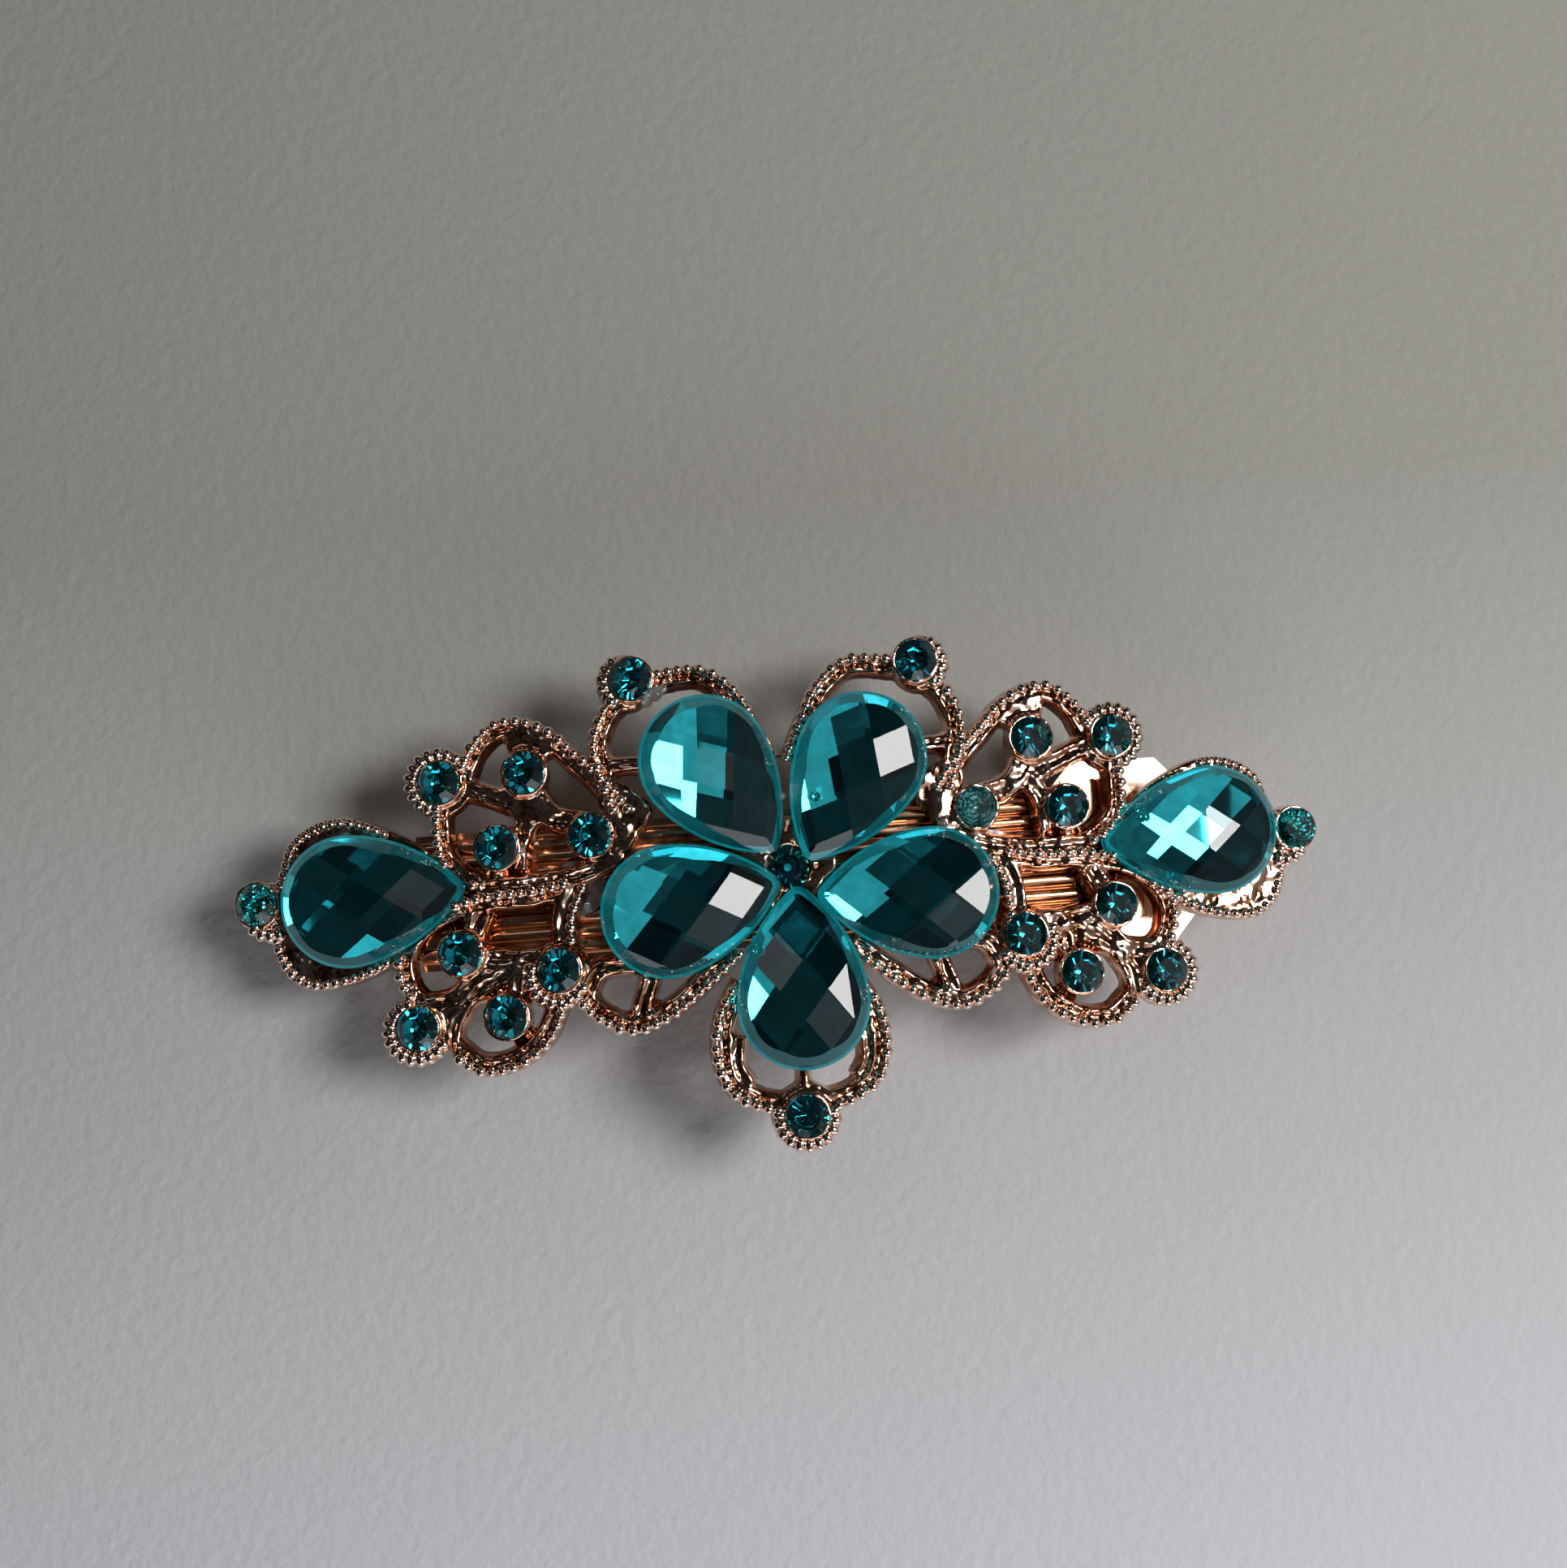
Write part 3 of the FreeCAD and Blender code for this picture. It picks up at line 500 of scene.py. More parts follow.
def foil(name, colour):
    """Mirror coating on the back of a stone."""
    material, tree, shader = new_material(name, Metallic=1.0, Roughness=0.02)
    dark = tuple(FOIL_SHADE * part for part in colour)
    mottle(tree, shader, noise_texture(tree, 0.6), dark, colour, FOIL_EDGES)
    return material


def teal_rim():
    """The sloping rim of a pear stone, where trapped light makes the acrylic look solid."""
    material, tree, shader = new_material("teal_rim", Roughness=0.04, IOR=STONE_IOR)
    shader.inputs["Transmission Weight"].default_value = 0.86
    mottle(tree, shader, noise_texture(tree, 0.5), (0.02, 0.66, 0.76), (0.08, 0.84, 0.92), FOIL_EDGES)
    return material


def painted_rim_light():
    """Painted light: a bright ring round the edge of a pear stone's back that stands in for light caught at
    the rim, and shows through the sloping rim.
    """
    material, tree, shader = new_material("painted_rim_light", Roughness=0.45)
    mottle(tree, shader, noise_texture(tree, 0.4), (0.10, 0.80, 0.86), (0.30, 0.95, 0.98), FOIL_EDGES)
    return material


def glitter_foil():
    """Coating of tiny tilted flakes."""
    material, tree, shader = new_material("glitter_foil", Metallic=1.0, Roughness=0.5)
    where = tree.nodes.new("ShaderNodeTexCoord")
    flakes = tree.nodes.new("ShaderNodeTexVoronoi")
    flakes.inputs["Scale"].default_value = FLAKE_RATE / MM
    tree.links.new(where.outputs["Object"], flakes.inputs["Vector"])
    split = tree.nodes.new("ShaderNodeSeparateXYZ")
    tree.links.new(flakes.outputs["Color"], split.inputs[0])
    mottle(tree, shader, split.outputs["X"], (0.02, 0.22, 0.22), (1.0, 1.0, 1.0), FLAKE_EDGES)
    bump(tree, shader, split.outputs["Y"], 0.12)
    return material


def clear_glue():
    """Hardened clear glue, a little cloudy."""
    material, tree, shader = new_material("clear_glue", Roughness=0.12, IOR=GLUE_IOR)
    shader.inputs["Transmission Weight"].default_value = 0.9
    mottle(tree, shader, noise_texture(tree, 1.5), (0.80, 0.92, 0.90), (0.95, 1.0, 0.98))
    return material


# ------------------------------------------------------------------ mesh helpers
class Shapes:
    """Vertices in metres and faces of many closed shapes."""

    def __init__(self):
        self.points = []
        self.faces = []

    def add(self, points, faces):
        start = len(self.points)
        self.points += points
        self.faces += [tuple(start + index for index in face) for face in faces]

    def mesh(self, name):
        mesh = bpy.data.meshes.new(name)
        mesh.from_pydata([tuple(point) for point in self.points], [], self.faces)
        mesh.update()
        return mesh


def make_object(name, mesh, materials, body="ornament"):
    piece = bpy.data.objects.new(name, mesh)
    bpy.context.scene.collection.objects.link(piece)
    for material in materials:
        piece.data.materials.append(material)
    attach(piece, body)
    return piece


def ball_template(subdivisions):
    bm = bmesh.new()
    bmesh.ops.create_icosphere(bm, subdivisions=subdivisions, radius=1.0)
    points = [vertex.co.copy() for vertex in bm.verts]
    faces = [tuple(vertex.index for vertex in face.verts) for face in bm.faces]
    bm.free()
    return points, faces


BALL = ball_template(2)


PATH_STEP = 0.3
RING_STEP = 0.35
PLATE_STEP = 0.5


def curve_point(a, b, c, d, t):
    """Point between b and c on a Catmull-Rom curve."""
    return 0.5 * (2 * b + (c - a) * t + (2 * a - 5 * b + 4 * c - d) * t * t
                  + (3 * b - a - 3 * c + d) * t ** 3)


def steps_between(start, end, step):
    return max(2, math.ceil((end - start).length / step))


def smooth_path(points, step=PATH_STEP):
    """Points about a step apart on a smooth open curve, with the direction at each."""
    knots = [Vector(point) for point in points]
    places = []
    if len(knots) == 2:
        count = steps_between(*knots, step)
        places += [knots[0].lerp(knots[1], index / count) for index in range(count)]
    else:
        ends = [2 * knots[0] - knots[1]] + knots + [2 * knots[-1] - knots[-2]]
        for a, b, c, d in zip(ends, ends[1:], ends[2:], ends[3:]):
            count = steps_between(b, c, step)
            places += [curve_point(a, b, c, d, index / count) for index in range(count)]
    places.append(knots[-1])
    directions = [(after - before).normalized() for before, after in
                  zip([places[0]] + places[:-1], places[1:] + [places[-1]])]
    return places, directions


def closed_path(points, step=RING_STEP):
    """Points about a step apart on a smooth closed curve."""
    knots = [Vector(point) for point in points]
    places = []
    for index in range(len(knots)):
        a, b, c, d = (knots[(index + shift) % len(knots)] for shift in (-1, 0, 1, 2))
        count = steps_between(b, c, step)
        places += [curve_point(a, b, c, d, part / count) for part in range(count)]
    return places


def strand_section(width):
    """Across and up, for a ribbon with drafted walls, rounded shoulders and a shallow channel."""
    half = width / 2
    right = [(half + STRAND_DRAFT, 0.0), (half, STRAND_WALL), (half - SHOULDER_INSET, SHOULDER_HEIGHT),
             (half - CREST_INSET, CASTING_THICK), (0.0, CHANNEL_HEIGHT)]
    return right + [(-across, up) for across, up in reversed(right[:-1])]


def wall_faces(size, low, high):
    """Faces between two rings of the given size, whose points start at low and at high."""
    following = list(range(1, size)) + [0]
    return [(low + index, low + after, high + after, high + index) for index, after in enumerate(following)]


def add_strand(shapes, width, points):
    places, directions = smooth_path(points)
    section = strand_section(width)
    size = len(section)
    rings = []
    for place, direction in zip(places, directions):
        side = Vector((direction.y, -direction.x))
        for across, up in section:
            at = place + side * across
            rings.append(arch_point(at.x, at.y, up))
    last = (len(places) - 1) * size
    faces = []
    for low in range(0, last, size):
        faces += wall_faces(size, low, low + size)
    faces.append(tuple(range(size))[::-1])
    faces.append(tuple(range(last, last + size)))
    shapes.add(rings, faces)


def add_prism(shapes, outline, low, high, draft=PLATE_DRAFT):
    """Plate with drafted walls over a plan outline."""
    corners = [Vector(point) for point in outline]
    count = len(corners)
    middle = sum(corners, Vector((0, 0))) / count
    points = []
    for level, grow in ((low, draft), (high, 0.0)):
        for corner in corners:
            at = corner + (corner - middle).normalized() * grow
            points.append(arch_point(at.x, at.y, level))
    ends = [tuple(range(count))[::-1], tuple(range(count, 2 * count))]
    shapes.add(points, ends + wall_faces(count, 0, count))


def circle(x, y, radius):
    turns = [2 * math.pi * index / CIRCLE_POINTS for index in range(CIRCLE_POINTS)]
    return [(x + radius * math.cos(turn), y + radius * math.sin(turn)) for turn in turns]


def add_ball(shapes, x, y, lift, radii, turn=0.0):
    place = arch_matrix(x, y, lift, turn) @ Matrix.Diagonal((*radii, 1))
    points, faces = BALL
    shapes.add([place @ point for point in points], faces)


def scaled(shape, size):
    return [size * part for part in shape]


def mirrored(points):
    return [(-x, y) for x, y in points]


# ------------------------------------------------------------------ stones
# Points on the round end, the side and the tip of one half of a pear outline.
ROUND_POINTS = 22
SIDE_POINTS = 20
TIP_POINTS = 6
WELD = 1e-4                      # corners closer than this become one
FACET_LONG = 2.3                 # half diagonals of the rhombic facets
FACET_ACROSS = 1.85
DOME_LONG = 14.5                 # radius of curvature of the dome along the stone
DOME_ACROSS = DOME_LONG * (FACET_ACROSS / FACET_LONG) ** 2    # which makes the rhombs flat
DOME_SHIFT = -0.8
LATTICE_ROWS = 5                 # squares of the facets' lattice on each side of the dome's top
LATTICE_RADIUS = 12.0            # squares whose first corner is further away are left out
RIM_HEIGHT = 1.0
RIM_SLOPE = (0.75, 1.0)          # across and down
RIM_FACING = (0.1, 0.72)         # upward part of the normal, for faces that belong to the rim
FOIL_INSET = 0.75
PEAR_SPARE = 1.0                 # cut away above the dome of a pear stone
STONE_SPARE = 0.1                # cut away below the point of a round stone
PEAR_BACK_LEVEL = 0.01           # faces lower than this get the coating
PAVILION_LEVEL = -0.02
BODY, COATING, BACK_RING, RIM = range(4)


def arc_points(centre, radius, first, last, count):
    """Points of an arc, without the last."""
    places = []
    for index in range(count):
        turn = first + (last - first) * index / count
        places.append(Vector((centre[0] + radius * math.cos(turn), centre[1] + radius * math.sin(turn))))
    return places


def pear_outline(shrink=0.0):
    """Outline of a pear stone: round end about the origin, tip towards -X, with a rounded tip."""
    radius = PEAR_WIDTH / 2
    corner = Vector((-(PEAR_LENGTH - radius), 0))
    side_start = math.radians(PEAR_SIDE_START)
    top = Vector((radius * math.cos(side_start), radius * math.sin(side_start)))
    inward = -top.normalized()
    chord = top - corner
    side_radius = -chord.dot(chord) / (2 * chord.dot(inward))
    centre = top + inward * side_radius
    round_x = centre.x - math.sqrt((side_radius - PEAR_TIP_ROUND) ** 2 - centre.y ** 2)
    side_end = math.atan2(-centre.y, round_x - centre.x)
    upper = arc_points((0, 0), radius - shrink, 0.0, side_start, ROUND_POINTS)
    upper += arc_points(centre, side_radius - shrink, side_start, side_end, SIDE_POINTS)
    upper += arc_points((round_x, 0), PEAR_TIP_ROUND - shrink, side_end, math.pi, TIP_POINTS)
    end = Vector((round_x - PEAR_TIP_ROUND + shrink, 0))
    return upper + [end] + [Vector((point.x, -point.y)) for point in reversed(upper[1:])]


def cut_prism(outline, low, high, planes):
    """Bmesh of a prism that has been cut by planes, given as a point and an outward direction."""
    bm = bmesh.new()
    bottom = [bm.verts.new((point[0], point[1], low)) for point in outline]
    face = bm.faces.new(bottom)
    grown = bmesh.ops.extrude_face_region(bm, geom=[face])
    raised = [item for item in grown["geom"] if isinstance(item, bmesh.types.BMVert)]
    bmesh.ops.translate(bm, verts=raised, vec=(0, 0, high - low))
    bmesh.ops.recalc_face_normals(bm, faces=bm.faces)
    for point, normal in planes:
        everything = bm.verts[:] + bm.edges[:] + bm.faces[:]
        cut = bmesh.ops.bisect_plane(bm, geom=everything, plane_co=point, plane_no=normal, clear_outer=True)
        edges = [item for item in cut["geom_cut"] if isinstance(item, bmesh.types.BMEdge)]
        if edges:
            bmesh.ops.contextual_create(bm, geom=edges)
    bmesh.ops.remove_doubles(bm, verts=bm.verts, dist=WELD)
    bmesh.ops.recalc_face_normals(bm, faces=bm.faces)
    return bm


def dome_height(x, y):
    return PEAR_HEIGHT - (x - DOME_SHIFT) ** 2 / (2 * DOME_LONG) - y * y / (2 * DOME_ACROSS)


def checker_planes():
    """One plane for each square of a diagonal lattice whose corners lie on the dome."""
    planes = []
    for i in range(-LATTICE_ROWS, LATTICE_ROWS):
        for j in range(-LATTICE_ROWS, LATTICE_ROWS):
            corners = []
            for u, v in ((i, j), (i + 1, j), (i + 1, j + 1)):
                x, y = DOME_SHIFT + (u + v + 1) * FACET_LONG, (u - v) * FACET_ACROSS
                corners.append(Vector((x, y, dome_height(x, y))))
            if corners[0].length > LATTICE_RADIUS:
                continue
            normal = (corners[1] - corners[0]).cross(corners[2] - corners[0]).normalized()
            planes.append((corners[0], normal if normal.z > 0 else -normal))
    return planes


def rim_planes(outline, height, across, down):
    """Sloping planes that make the smooth rim round a stone."""
    planes = []
    count = len(outline)
    for index in range(count):
        along = (outline[(index + 1) % count] - outline[index - 1]).normalized()
        outward = Vector((along.y, -along.x, 0))
        normal = outward * down + Vector((0, 0, across))
        planes.append((Vector((*outline[index], height)), normal.normalized()))
    return planes


def finish_stone(bm, name, place, materials, coated_below):
    """Puts a cut stone in its place. Faces of its body that lie low enough get the coating."""
    for face in bm.faces:
        if face.material_index == BODY and face.calc_center_median().z < coated_below:
            face.material_index = COATING
    bm.transform(place)
    mesh = bpy.data.meshes.new(name)
    bm.to_mesh(mesh)
    bm.free()
    return make_object(name, mesh, materials)


def leaning(lean):
    """Turns a stone so that its face looks the given degrees towards +X and +Y."""
    return Matrix.Rotation(math.radians(lean[0]), 4, "Y") @ Matrix.Rotation(math.radians(-lean[1]), 4, "X")


def edge_ring(bm, face, width):
    """Splits a flat face into a ring and a middle, and returns the ring's faces."""
    ring = bmesh.ops.inset_region(bm, faces=[face], thickness=width, use_even_offset=True)
    return ring["faces"]


def make_pear_gems(materials):
    """The materials are those of the body, the coating, the ring round the back, which is painted rim
    light, and the rim.
    """
    outline = pear_outline()
    planes = checker_planes() + rim_planes(outline, RIM_HEIGHT, *RIM_SLOPE)
    gem = cut_prism(outline, 0.0, PEAR_HEIGHT + PEAR_SPARE, planes)
    back = min(gem.faces, key=lambda face: face.calc_center_median().z)
    # The ring round the back gets the painted rim light.
    for face in edge_ring(gem, back, FOIL_INSET):
        face.material_index = BACK_RING
    for face in gem.faces:
        if RIM_FACING[0] < face.normal.z < RIM_FACING[1]:
            face.material_index = RIM
    for name, pear in PEARS.items():
        turn = Matrix.Rotation(math.radians(pear.direction), 4, "Z")
        place = arch_matrix(pear.x, pear.y, CASTING_THICK) @ leaning(pear.lean) @ turn
        piece = finish_stone(gem.copy(), name + "_cut", place, materials, PEAR_BACK_LEVEL)
        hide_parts(name)
    gem.free()


def cone_planes(radius, height, tip_radius, tip_height, offset):
    """Flat facets between a circle and a smaller one at another height."""
    slope = Vector((0, 0, 1)) * (radius - tip_radius) / abs(tip_height - height)
    planes = []
    for index in range(STONE_FACETS):
        turn = 2 * math.pi * (index + offset) / STONE_FACETS
        outward = Vector((math.cos(turn), math.sin(turn), 0))
        normal = outward + (slope if tip_height > height else -slope)
        planes.append((outward * radius + Vector((0, 0, height)), normal.normalized()))
    return planes


def stone_nodes():
    """Name and plan position of every round stone."""
    found = []
    for name in sorted(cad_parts):
        if name.startswith("stone_"):
            low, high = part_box(name)
            found.append((name, *plan_position((low + high) / 2)[:2]))
    return found


def girdle_lift(name):
    """Height of the lower edge of a stone's girdle above the casting's underside."""
    if name == "stone_centre":
        return CASTING_THICK - STONE_GIRDLE - STONE_CROWN - CENTRE_SINK
    return CUP_HEIGHT


def cut_round_stone():
    """Round stone with a flat table and a pointed back, about the lower edge of its girdle."""
    table_height = STONE_GIRDLE + STONE_CROWN
    crown = cone_planes(STONE_RADIUS, STONE_GIRDLE, STONE_TABLE_RADIUS, table_height, 0.0)
    pavilion = cone_planes(STONE_RADIUS, 0.0, 0.0, -STONE_PAVILION, 0.5)
    low = -STONE_PAVILION - STONE_SPARE
    return cut_prism(circle(0, 0, STONE_RADIUS), low, table_height, crown + pavilion)


def make_round_stones(plain, glitter):
    """Each of the two looks is the material of the body and that of the coating."""
    stone = cut_round_stone()
    picker = random.Random(STONE_SEED)
    sway_x, sway_y = STONE_SWAY
    for name, x, y in stone_nodes():
        steady = STONE_LEAN - STONE_LEAN_RISE * max(0.0, x - STONE_LEAN_FROM)
        lean_x = steady + picker.uniform(-sway_x, sway_x)
        lean_y = picker.uniform(-sway_y, sway_y)
        turn = Matrix.Rotation(picker.uniform(0, 1), 4, "Z")
        place = arch_matrix(x, y, girdle_lift(name)) @ leaning((lean_x, lean_y)) @ turn
        materials = glitter if name == GLITTER_STONE else plain
        piece = finish_stone(stone.copy(), name + "_cut", place, materials, PAVILION_LEVEL)
        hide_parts(name)
    stone.free()


# Squeezed-out glue beside the stones: x, y, height above the casting's underside and size.
GLUE = [(-9.6, 14.3, 2.3, 0.75), (-10.2, 13.7, 2.1, 0.55), (-8.9, 14.7, 2.1, 0.5),
        (-2.9, -5.6, 2.0, 0.6), (-3.5, -6.2, 1.9, 0.5), (-2.5, -6.6, 1.9, 0.45), (-15.9, -2.0, 2.0, 0.5),
        (12.5, 2.5, 2.0, 0.5), (2.7, 5.4, 1.9, 0.5), (-0.2, 5.6, 1.9, 0.5), (29.3, 1.9, 1.9, 0.45)]
GLUE_SHAPE = (1.0, 0.85, 0.6)
GLUE_TURN = 40.0                 # degrees for each millimetre along x, so that the drops differ


def make_glue(material):
    shapes = Shapes()
    for x, y, lift, size in GLUE:
        add_ball(shapes, x, y, lift, scaled(GLUE_SHAPE, size), GLUE_TURN * x)
    piece = make_object("glue_drops", remeshed(shapes, "glue_drops"), [material])
    piece.data.shade_smooth()


# ------------------------------------------------------------------ casting
TAPER_SPARE = 1.02               # the parabola of a pear's taper is a little wider than the stone


def in_pear(x, y, gem, grow):
    """Whether a plan position lies under a pear stone, grown by a margin."""
    turn = math.radians(-gem.direction)
    dx, dy = x - gem.x, y - gem.y
    along = dx * math.cos(turn) - dy * math.sin(turn)
    across = abs(dx * math.sin(turn) + dy * math.cos(turn))
    radius = PEAR_WIDTH / 2 + grow
    if along * along + across * across < radius * radius:
        return True
    tip = PEAR_LENGTH - PEAR_WIDTH / 2 + grow
    if along > 0 or along < -tip:
        return False
    return across < radius * (1 - (along / tip) ** 2) * TAPER_SPARE


def seat_height(x, y, gem):
    """Height just below the back of a leaning pear stone."""
    slope_x, slope_y = (math.tan(math.radians(lean)) for lean in gem.lean)
    return CASTING_THICK - SEAT_GAP - ((x - gem.x) * slope_x + (y - gem.y) * slope_y)


def pressed(x, y, lift, stones):
    """Height of a point of the casting after the cups and the gem seats have been pressed into it."""
    for stone_x, stone_y, girdle in stones:
        distance = math.hypot(x - stone_x, y - stone_y)
        if distance < STONE_RADIUS + CUP_PLAY:
            lift = min(lift, girdle - STONE_PAVILION * (1 - distance / STONE_RADIUS) - CUP_GAP)
    for gem in PEARS.values():
        if lift > SEAT_LOW and in_pear(x, y, gem, SEAT_PLAY):
            lift = min(lift, seat_height(x, y, gem))
    return lift


def texture_casting(mesh, stones):
    """Pebbles the casting, presses the stones' seats into it, and stores how high each point stands out,
    which the metal's colour turns into painted shade and highlight.
    """
    places = [0.0] * (3 * len(mesh.vertices))
    normals = places[:]
    mesh.vertices.foreach_get("co", places)
    mesh.vertices.foreach_get("normal", normals)
    shade_highlights = []
    for index in range(0, len(places), 3):
        x, y, lift = plan_position(Vector(places[index:index + 3]))
        spot = Vector((x, y, lift))
        pebble = noise.noise(spot) + FINE_PEBBLE_SHARE * noise.noise(spot * FINE_PEBBLE_RATE)
        amount = PEBBLE_TOP if normals[index + 2] > FACING_UP else PEBBLE_WALL
        if lift < SMOOTH_BELOW:
            amount = 0.0
        moved = pressed(x, y, lift + pebble * amount, stones)
        places[index:index + 3] = arch_point(x, y, moved)
        # Higher and more pebbled points get more painted highlight, and lower ones get more painted shade.
        shade_highlight = SHADE_HIGHLIGHT_MIDDLE + SHADE_HIGHLIGHT_PEBBLE * pebble + SHADE_HIGHLIGHT_LIFT * (moved - CASTING_THICK)
        shade_highlights.append(min(1.0, max(0.0, shade_highlight)))
    mesh.vertices.foreach_set("co", places)
    mesh.update()
    store_shade_highlight(mesh, shade_highlights)


def store_shade_highlight(mesh, values):
    shade_highlight = mesh.attributes.new("shade_highlight", "FLOAT", "POINT")
    shade_highlight.data.foreach_set("value", values)


def remeshed(shapes, name):
    """The union of closed shapes as one even mesh."""
    rough = bpy.data.objects.new(name, shapes.mesh(name))
    bpy.context.scene.collection.objects.link(rough)
    union = rough.modifiers.new("union", "REMESH")
    union.mode = "VOXEL"
    union.voxel_size = VOXEL * MM
    soften = rough.modifiers.new("soften", "SMOOTH")
    soften.factor = 0.5
    soften.iterations = 3
    result = bpy.data.meshes.new_from_object(rough.evaluated_get(bpy.context.evaluated_depsgraph_get()))
    bpy.data.objects.remove(rough)
    return result


def clear_of_stones(x, y, stones, margin):
    if any(math.hypot(x - stone[0], y - stone[1]) < STONE_RADIUS + margin for stone in stones):
        return False
    return not any(in_pear(x, y, gem, margin) for gem in PEARS.values())


def bead_spots(places, radius, spread, pitch, picker):
    """Index of each place of a row that gets a bead, and the bead's radius. The pitch is in that radius."""
    travelled, due = 0.0, 0.0
    for index, place in enumerate(places):
        travelled += (place - places[max(0, index - 1)]).length
        if travelled >= due:
            size = radius * picker.uniform(*spread)
            due = travelled + pitch * size
            yield index, size


def add_bead_row(beads, width, side, points, stones, picker):
    """Milgrain beads along one shoulder of a strand."""
    places, directions = smooth_path(points, BEAD_STEP)
    for index, size in bead_spots(places, BEAD_RADIUS, BEAD_SPREAD, BEAD_PITCH / BEAD_RADIUS, picker):
        along = directions[index]
        outward = Vector((-along.y, along.x)) * side
        at = places[index] + outward * (width / 2 - BEAD_INSET)
        if clear_of_stones(at.x, at.y, stones, BEAD_MARGIN):
            turn = math.degrees(math.atan2(along.y, along.x))
            add_ball(beads, at.x, at.y, CASTING_THICK + BEAD_RISE, scaled(BEAD_SHAPE, size), turn)


def add_shell_ribs(beads, shell):
    """Radial ribs round the outside of a cup."""
    x, y, radius, first, last = shell
    count = max(3, round(math.radians(last - first) * radius / RIB_PITCH))
    reach = radius - RIB_INSET
    for index in range(count + 1):
        turn = math.radians(first + (last - first) * index / count)
        at = (x + reach * math.cos(turn), y + reach * math.sin(turn))
        add_ball(beads, *at, CASTING_THICK - RIB_SINK, RIB_RADII, math.degrees(turn))


def add_tray(shapes, beads, points, stones, picker):
    """Plate under an end gem with a ring of beads inside its edge."""
    add_prism(shapes, closed_path(points), 0.0, CASTING_THICK - TRAY_SINK)
    middle = Vector((math.copysign(TRAY_MIDDLE, points[0][0]), 0))
    places = closed_path(points, TRAY_BEAD_STEP)
    for index, size in bead_spots(places, TRAY_BEAD_RADIUS, TRAY_BEAD_SPREAD, TRAY_BEAD_PITCH, picker):
        at = places[index] + (middle - places[index]).normalized() * TRAY_BEAD_INSET
        if clear_of_stones(at.x, at.y, stones, TRAY_BEAD_MARGIN):
            turn = math.degrees(math.atan2(at.y, at.x - middle.x))
            add_ball(beads, at.x, at.y, CASTING_THICK - TRAY_BEAD_SINK, scaled(TRAY_BEAD_SHAPE, size), turn)


def join_beads(mesh, beads, name):
    """Adds the beads, which keep their own fine mesh, to the remeshed casting."""
    detail = beads.mesh(name + "_beads")
    # Every bead gets a high value, which paints a highlight into the metal's colour.
    store_shade_highlight(detail, [BEAD_PAINTED_HIGHLIGHT] * len(detail.vertices))
    bm = bmesh.new()
    bm.from_mesh(mesh)
    bm.from_mesh(detail)
    bm.to_mesh(mesh)
    bm.free()


def make_casting_piece(name, strands, shells, cups, plates, material, stones, tray=None):
    shapes, beads = Shapes(), Shapes()
    picker = random.Random(name)
    for width, side, points in strands:
        add_strand(shapes, width, points)
        if side:
            add_bead_row(beads, width, side, points, stones, picker)
    for shell in shells:
        x, y, radius = shell[:3]
        add_prism(shapes, circle(x, y, radius - SHELL_INSET), 0.0, CASTING_THICK - SHELL_SINK)
        add_shell_ribs(beads, shell)
    for x, y in cups:
        add_prism(shapes, circle(x, y, STONE_RADIUS + CUP_WALL), 0.0, CUP_HEIGHT - CUP_RIM_SINK, CUP_DRAFT)
    for outline in plates:
        add_prism(shapes, closed_path(outline, PLATE_STEP), 0.0, CASTING_THICK - PLATE_SINK)
    if tray:
        add_tray(shapes, beads, tray, stones, picker)
    mesh = remeshed(shapes, name)
    texture_casting(mesh, stones)
    join_beads(mesh, beads, name)
    mesh.shade_smooth()
    piece = make_object(name, mesh, [material])
    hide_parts("filigree_frame")


def mirror_strands(strands):
    return [(width, -side, mirrored(points)) for width, side, points in strands]


def mirror_shells(shells):
    return [(-x, y, radius, 180 - last, 180 - first) for x, y, radius, first, last in shells]


def petal_seats():
    """Plates under the flower's pear stones."""
    seats = []
    for name, pear in PEARS.items():
        if name.startswith("petal"):
            turn = Matrix.Rotation(math.radians(pear.direction), 2)
            seats.append([turn @ point + Vector((pear.x, pear.y)) for point in pear_outline(SEAT_INSET)])
    return seats


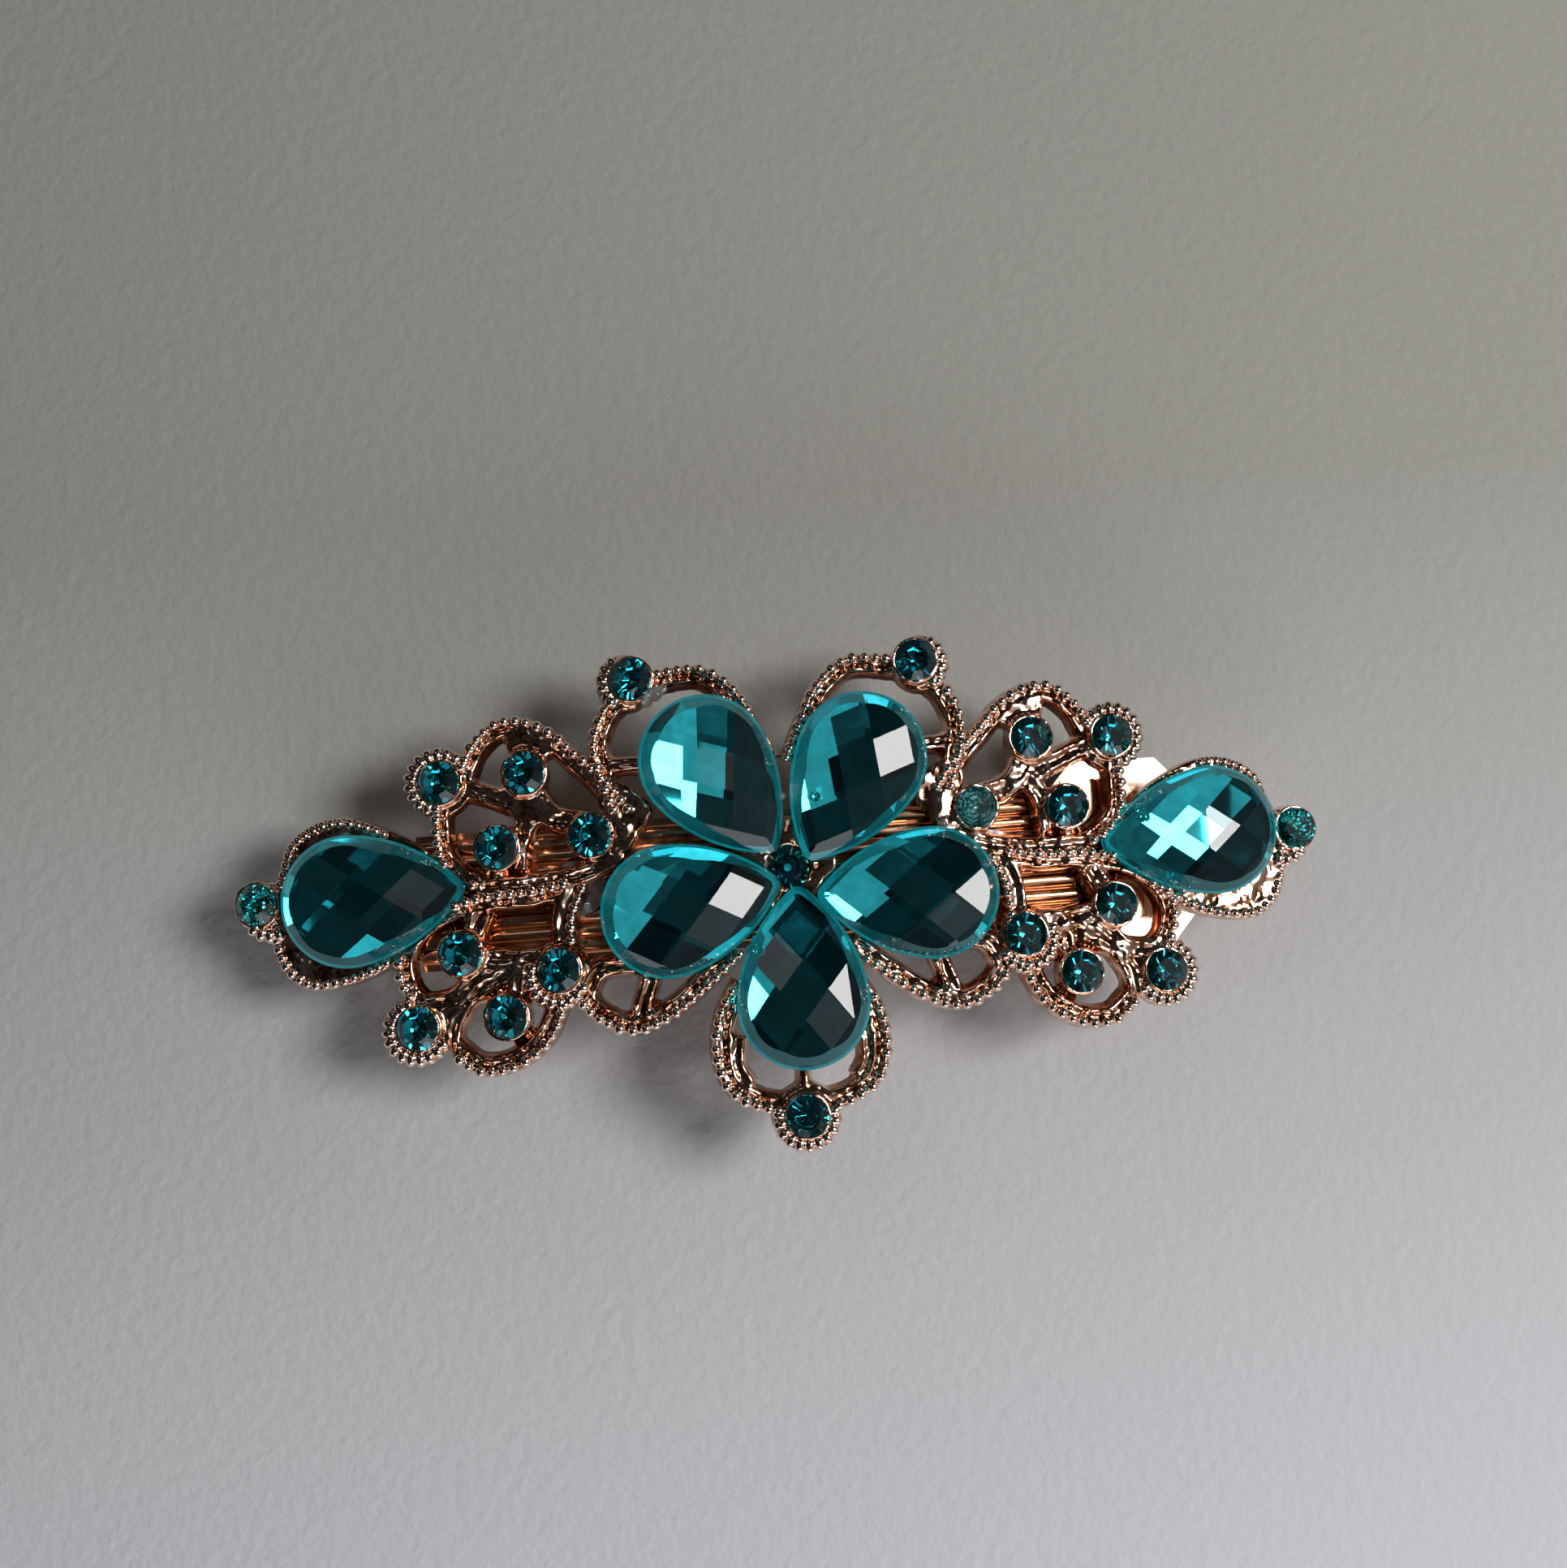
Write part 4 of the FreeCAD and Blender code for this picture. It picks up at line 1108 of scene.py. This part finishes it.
def make_casting(material):
    """The openwork casting in three pieces: the flower and a pair of leaves with a tray on either side."""
    places = stone_nodes()
    stones = [(x, y, girdle_lift(name)) for name, x, y in places]
    cups = {name: (x, y) for name, x, y in places}
    for side in ("right", "left"):
        strands, shells, tray, patches = LEAF_STRANDS, LEAF_SHELLS, TRAY, LEAF_PATCHES
        if side == "left":
            strands, shells, tray = mirror_strands(strands), mirror_shells(shells), mirrored(tray)
            patches = [mirrored(outline) for outline in patches]
        leaf_cups = [cups[f"stone_{side}_{name}"] for name in LEAF_STONES]
        make_casting_piece(f"filigree_{side}", strands, shells, leaf_cups, patches, material, stones, tray)
    strands = FLOWER_STRANDS + mirror_strands(FLOWER_STRANDS) + [BOTTOM_STEM]
    shells = [CROWN_SHELL, BOTTOM_SHELL] + mirror_shells([CROWN_SHELL])
    flower_cups = [cups["stone_right_crown"], cups["stone_left_crown"], cups["stone_bottom"]]
    plates = [circle(0, 0, FLOWER_HUB_RADIUS), FLOWER_PATCH, mirrored(FLOWER_PATCH)] + petal_seats()
    make_casting_piece("filigree_flower", strands, shells, flower_cups, plates, material, stones)


# ------------------------------------------------------------------ assembly
def paint(names, material):
    for name in names:
        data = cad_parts[name].data
        data.materials.clear()
        data.materials.append(material)


bpy.context.scene.view_settings.view_transform = "Standard"
make_camera()
make_world()
make_lights()
make_floor()
make_casting(cast_rose_gold())
make_pear_gems([
    teal_clear("teal_acrylic", (0.06, 0.72, 0.82), 0.05),
    foil("acrylic_foil", (0.72, 0.90, 0.94)),
    painted_rim_light(),
    teal_rim(),
])
plain_look = [teal_clear("teal_glass", (0.03, 0.64, 0.80), 0.02), foil("glass_foil", (0.80, 0.92, 0.95))]
glitter_look = [teal_clear("glitter_glass", (0.30, 0.86, 0.86), 0.02), glitter_foil()]
make_round_stones(plain_look, glitter_look)
make_glue(clear_glue())
paint(["upper_jaw"], fluted_copper())
paint(["lower_jaw", "hinge_pin"], pale_plating())
paint(["torsion_spring"], bright_wire())
paint([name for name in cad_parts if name.startswith("solder_pad")], dull_solder())
